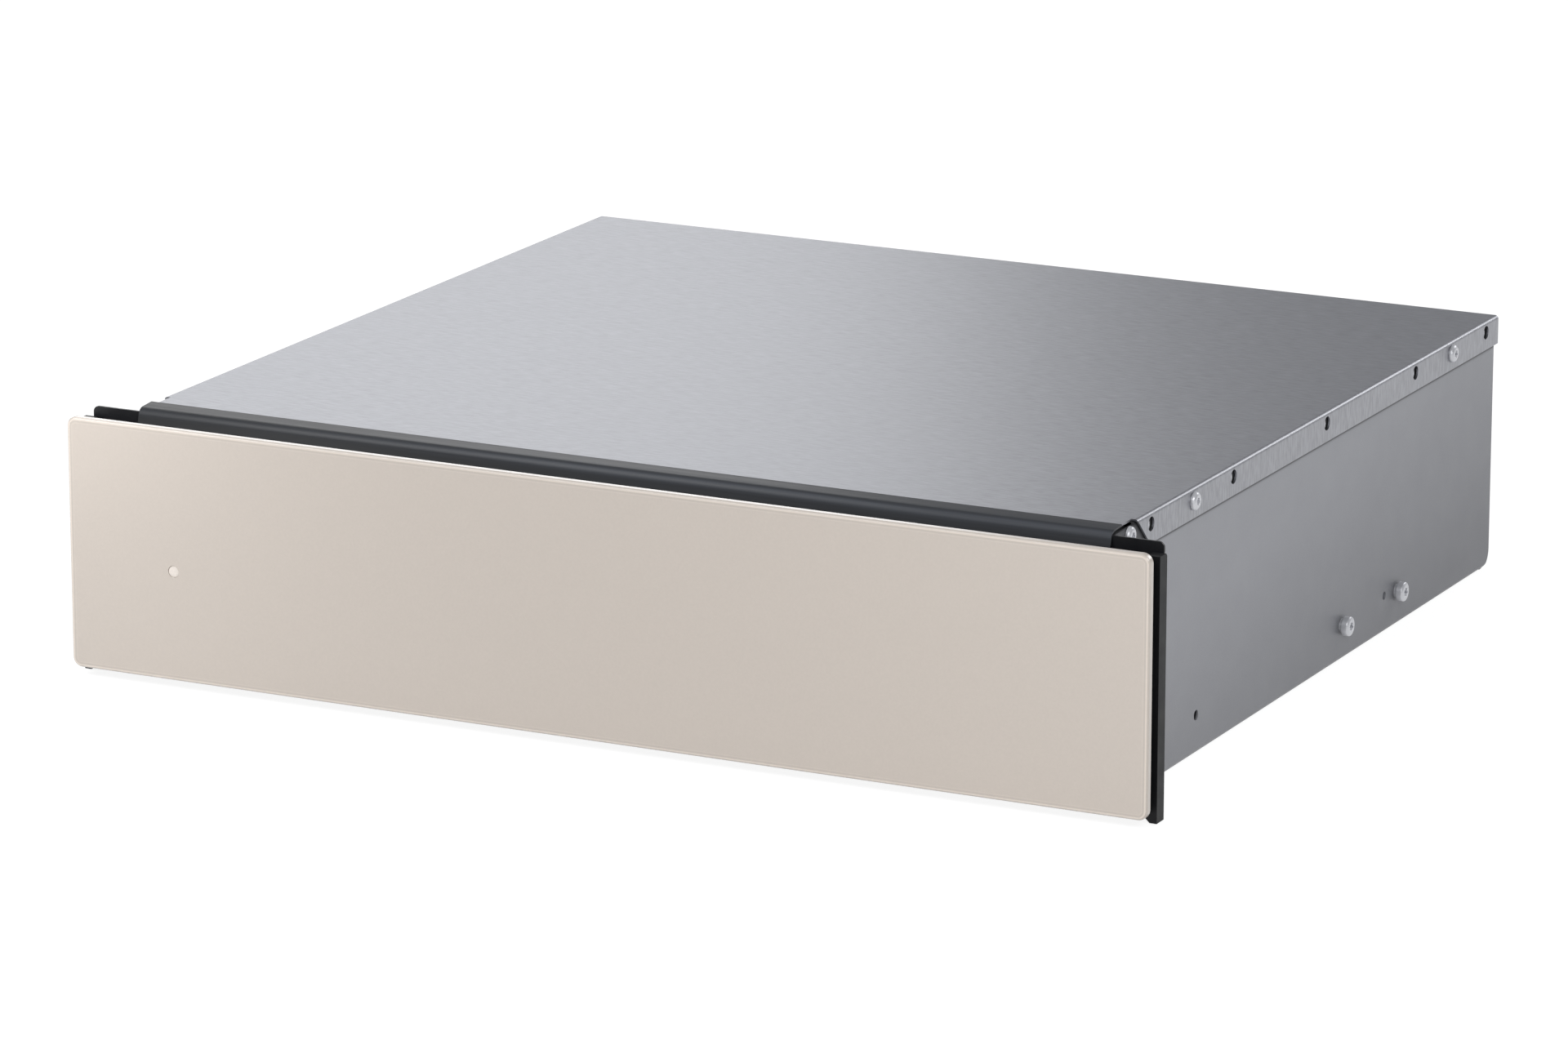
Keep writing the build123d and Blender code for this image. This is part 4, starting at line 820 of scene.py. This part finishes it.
# ---------------------------------------------------------------- stage and light
def white_floor(name, glow_strength, surface, shadow_share):
    """A floor that is near white to camera and reflections and keeps its shadow, and grey to other rays."""
    made = bpy.data.materials.new(name)
    made.use_nodes = True
    tree = made.node_tree
    tree.nodes.clear()
    kinds = (
        "OutputMaterial", "LightPath", "BsdfDiffuse", "BsdfDiffuse", "Emission", "AddShader", "MixShader",
        "Math", "Math",
    )
    made_nodes = [tree.nodes.new(f"ShaderNode{kind}") for kind in kinds]
    out, path, lit, seen, glow, add, mix, either, any_seen = made_nodes
    lit.inputs["Color"].default_value = grey(surface)
    seen.inputs["Color"].default_value = grey(shadow_share)
    glow.inputs["Strength"].default_value = glow_strength
    for maximum in (either, any_seen):
        maximum.operation = "MAXIMUM"
    for start, end in (
        (path.outputs["Is Camera Ray"], either.inputs[0]),
        (path.outputs["Is Glossy Ray"], either.inputs[1]),
        (either.outputs[0], any_seen.inputs[0]),
        (path.outputs["Is Transmission Ray"], any_seen.inputs[1]),
        (seen.outputs[0], add.inputs[0]),
        (glow.outputs[0], add.inputs[1]),
        (any_seen.outputs[0], mix.inputs["Fac"]),
        (lit.outputs[0], mix.inputs[1]),
        (add.outputs[0], mix.inputs[2]),
        (mix.outputs[0], out.inputs["Surface"]),
    ):
        tree.links.new(start, end)
    return made


FLOOR_HALF = 80.0                         # far enough that its edge stays out of low views
FLOOR_DROP = 0.2 * MM
FLOOR_GLOW, FLOOR_GREY, SHADOW_SHARE = 0.90, 0.8, 0.2
SKY_COLOR, SKY_STRENGTH = (0.95, 0.965, 1.0, 1.0), 0.39
floor_mesh = bpy.data.meshes.new("floor")
corners = [(x * FLOOR_HALF, y * FLOOR_HALF, 0.0) for x, y in ((-1, -1), (1, -1), (1, 1), (-1, 1))]
floor_mesh.from_pydata(corners, [], [(0, 1, 2, 3)])
floor = bpy.data.objects.new("floor", floor_mesh)
floor.location.z = -FLOOR_DROP
bpy.context.collection.objects.link(floor)
floor_mesh.materials.append(white_floor("floor", FLOOR_GLOW, FLOOR_GREY, SHADOW_SHARE))

world = bpy.data.worlds.new("studio")
bpy.context.scene.world = world
world.use_nodes = True
background = world.node_tree.nodes["Background"]
background.inputs["Color"].default_value = SKY_COLOR
background.inputs["Strength"].default_value = SKY_STRENGTH


def area_light(name, place, target, width, watts, height=None):
    """A soft rectangular lamp that looks at a point; sizes in metres."""
    data = bpy.data.lights.new(name, "AREA")
    data.shape = "RECTANGLE"
    data.size = width
    data.size_y = height or width
    data.energy = watts
    lamp = bpy.data.objects.new(name, data)
    lamp.location = place
    lamp.rotation_euler = (Vector(target) - Vector(place)).to_track_quat("-Z", "Y").to_euler()
    bpy.context.collection.objects.link(lamp)


area_light("key", (-1.05, front - 1.3, 1.6), (-0.05, 0.0, 0.05), 1.2, 22.5)
area_light("behind left", (-1.44, 1.52, 1.0), (-0.1, 0.0, 0.1), 1.6, 9.2, 0.9)
area_light("right", (0.85, -0.85, 0.65), (0.27, -0.25, 0.1), 0.4, 4.2)
area_light("near left", (-0.35, front - 0.11, 0.225), (-0.29, front, 0.125), 0.15, 0.18)
area_light("bend", (0.62, 0.95, 0.60), (0.27, 0.0, 0.13), 0.4, 2.4)
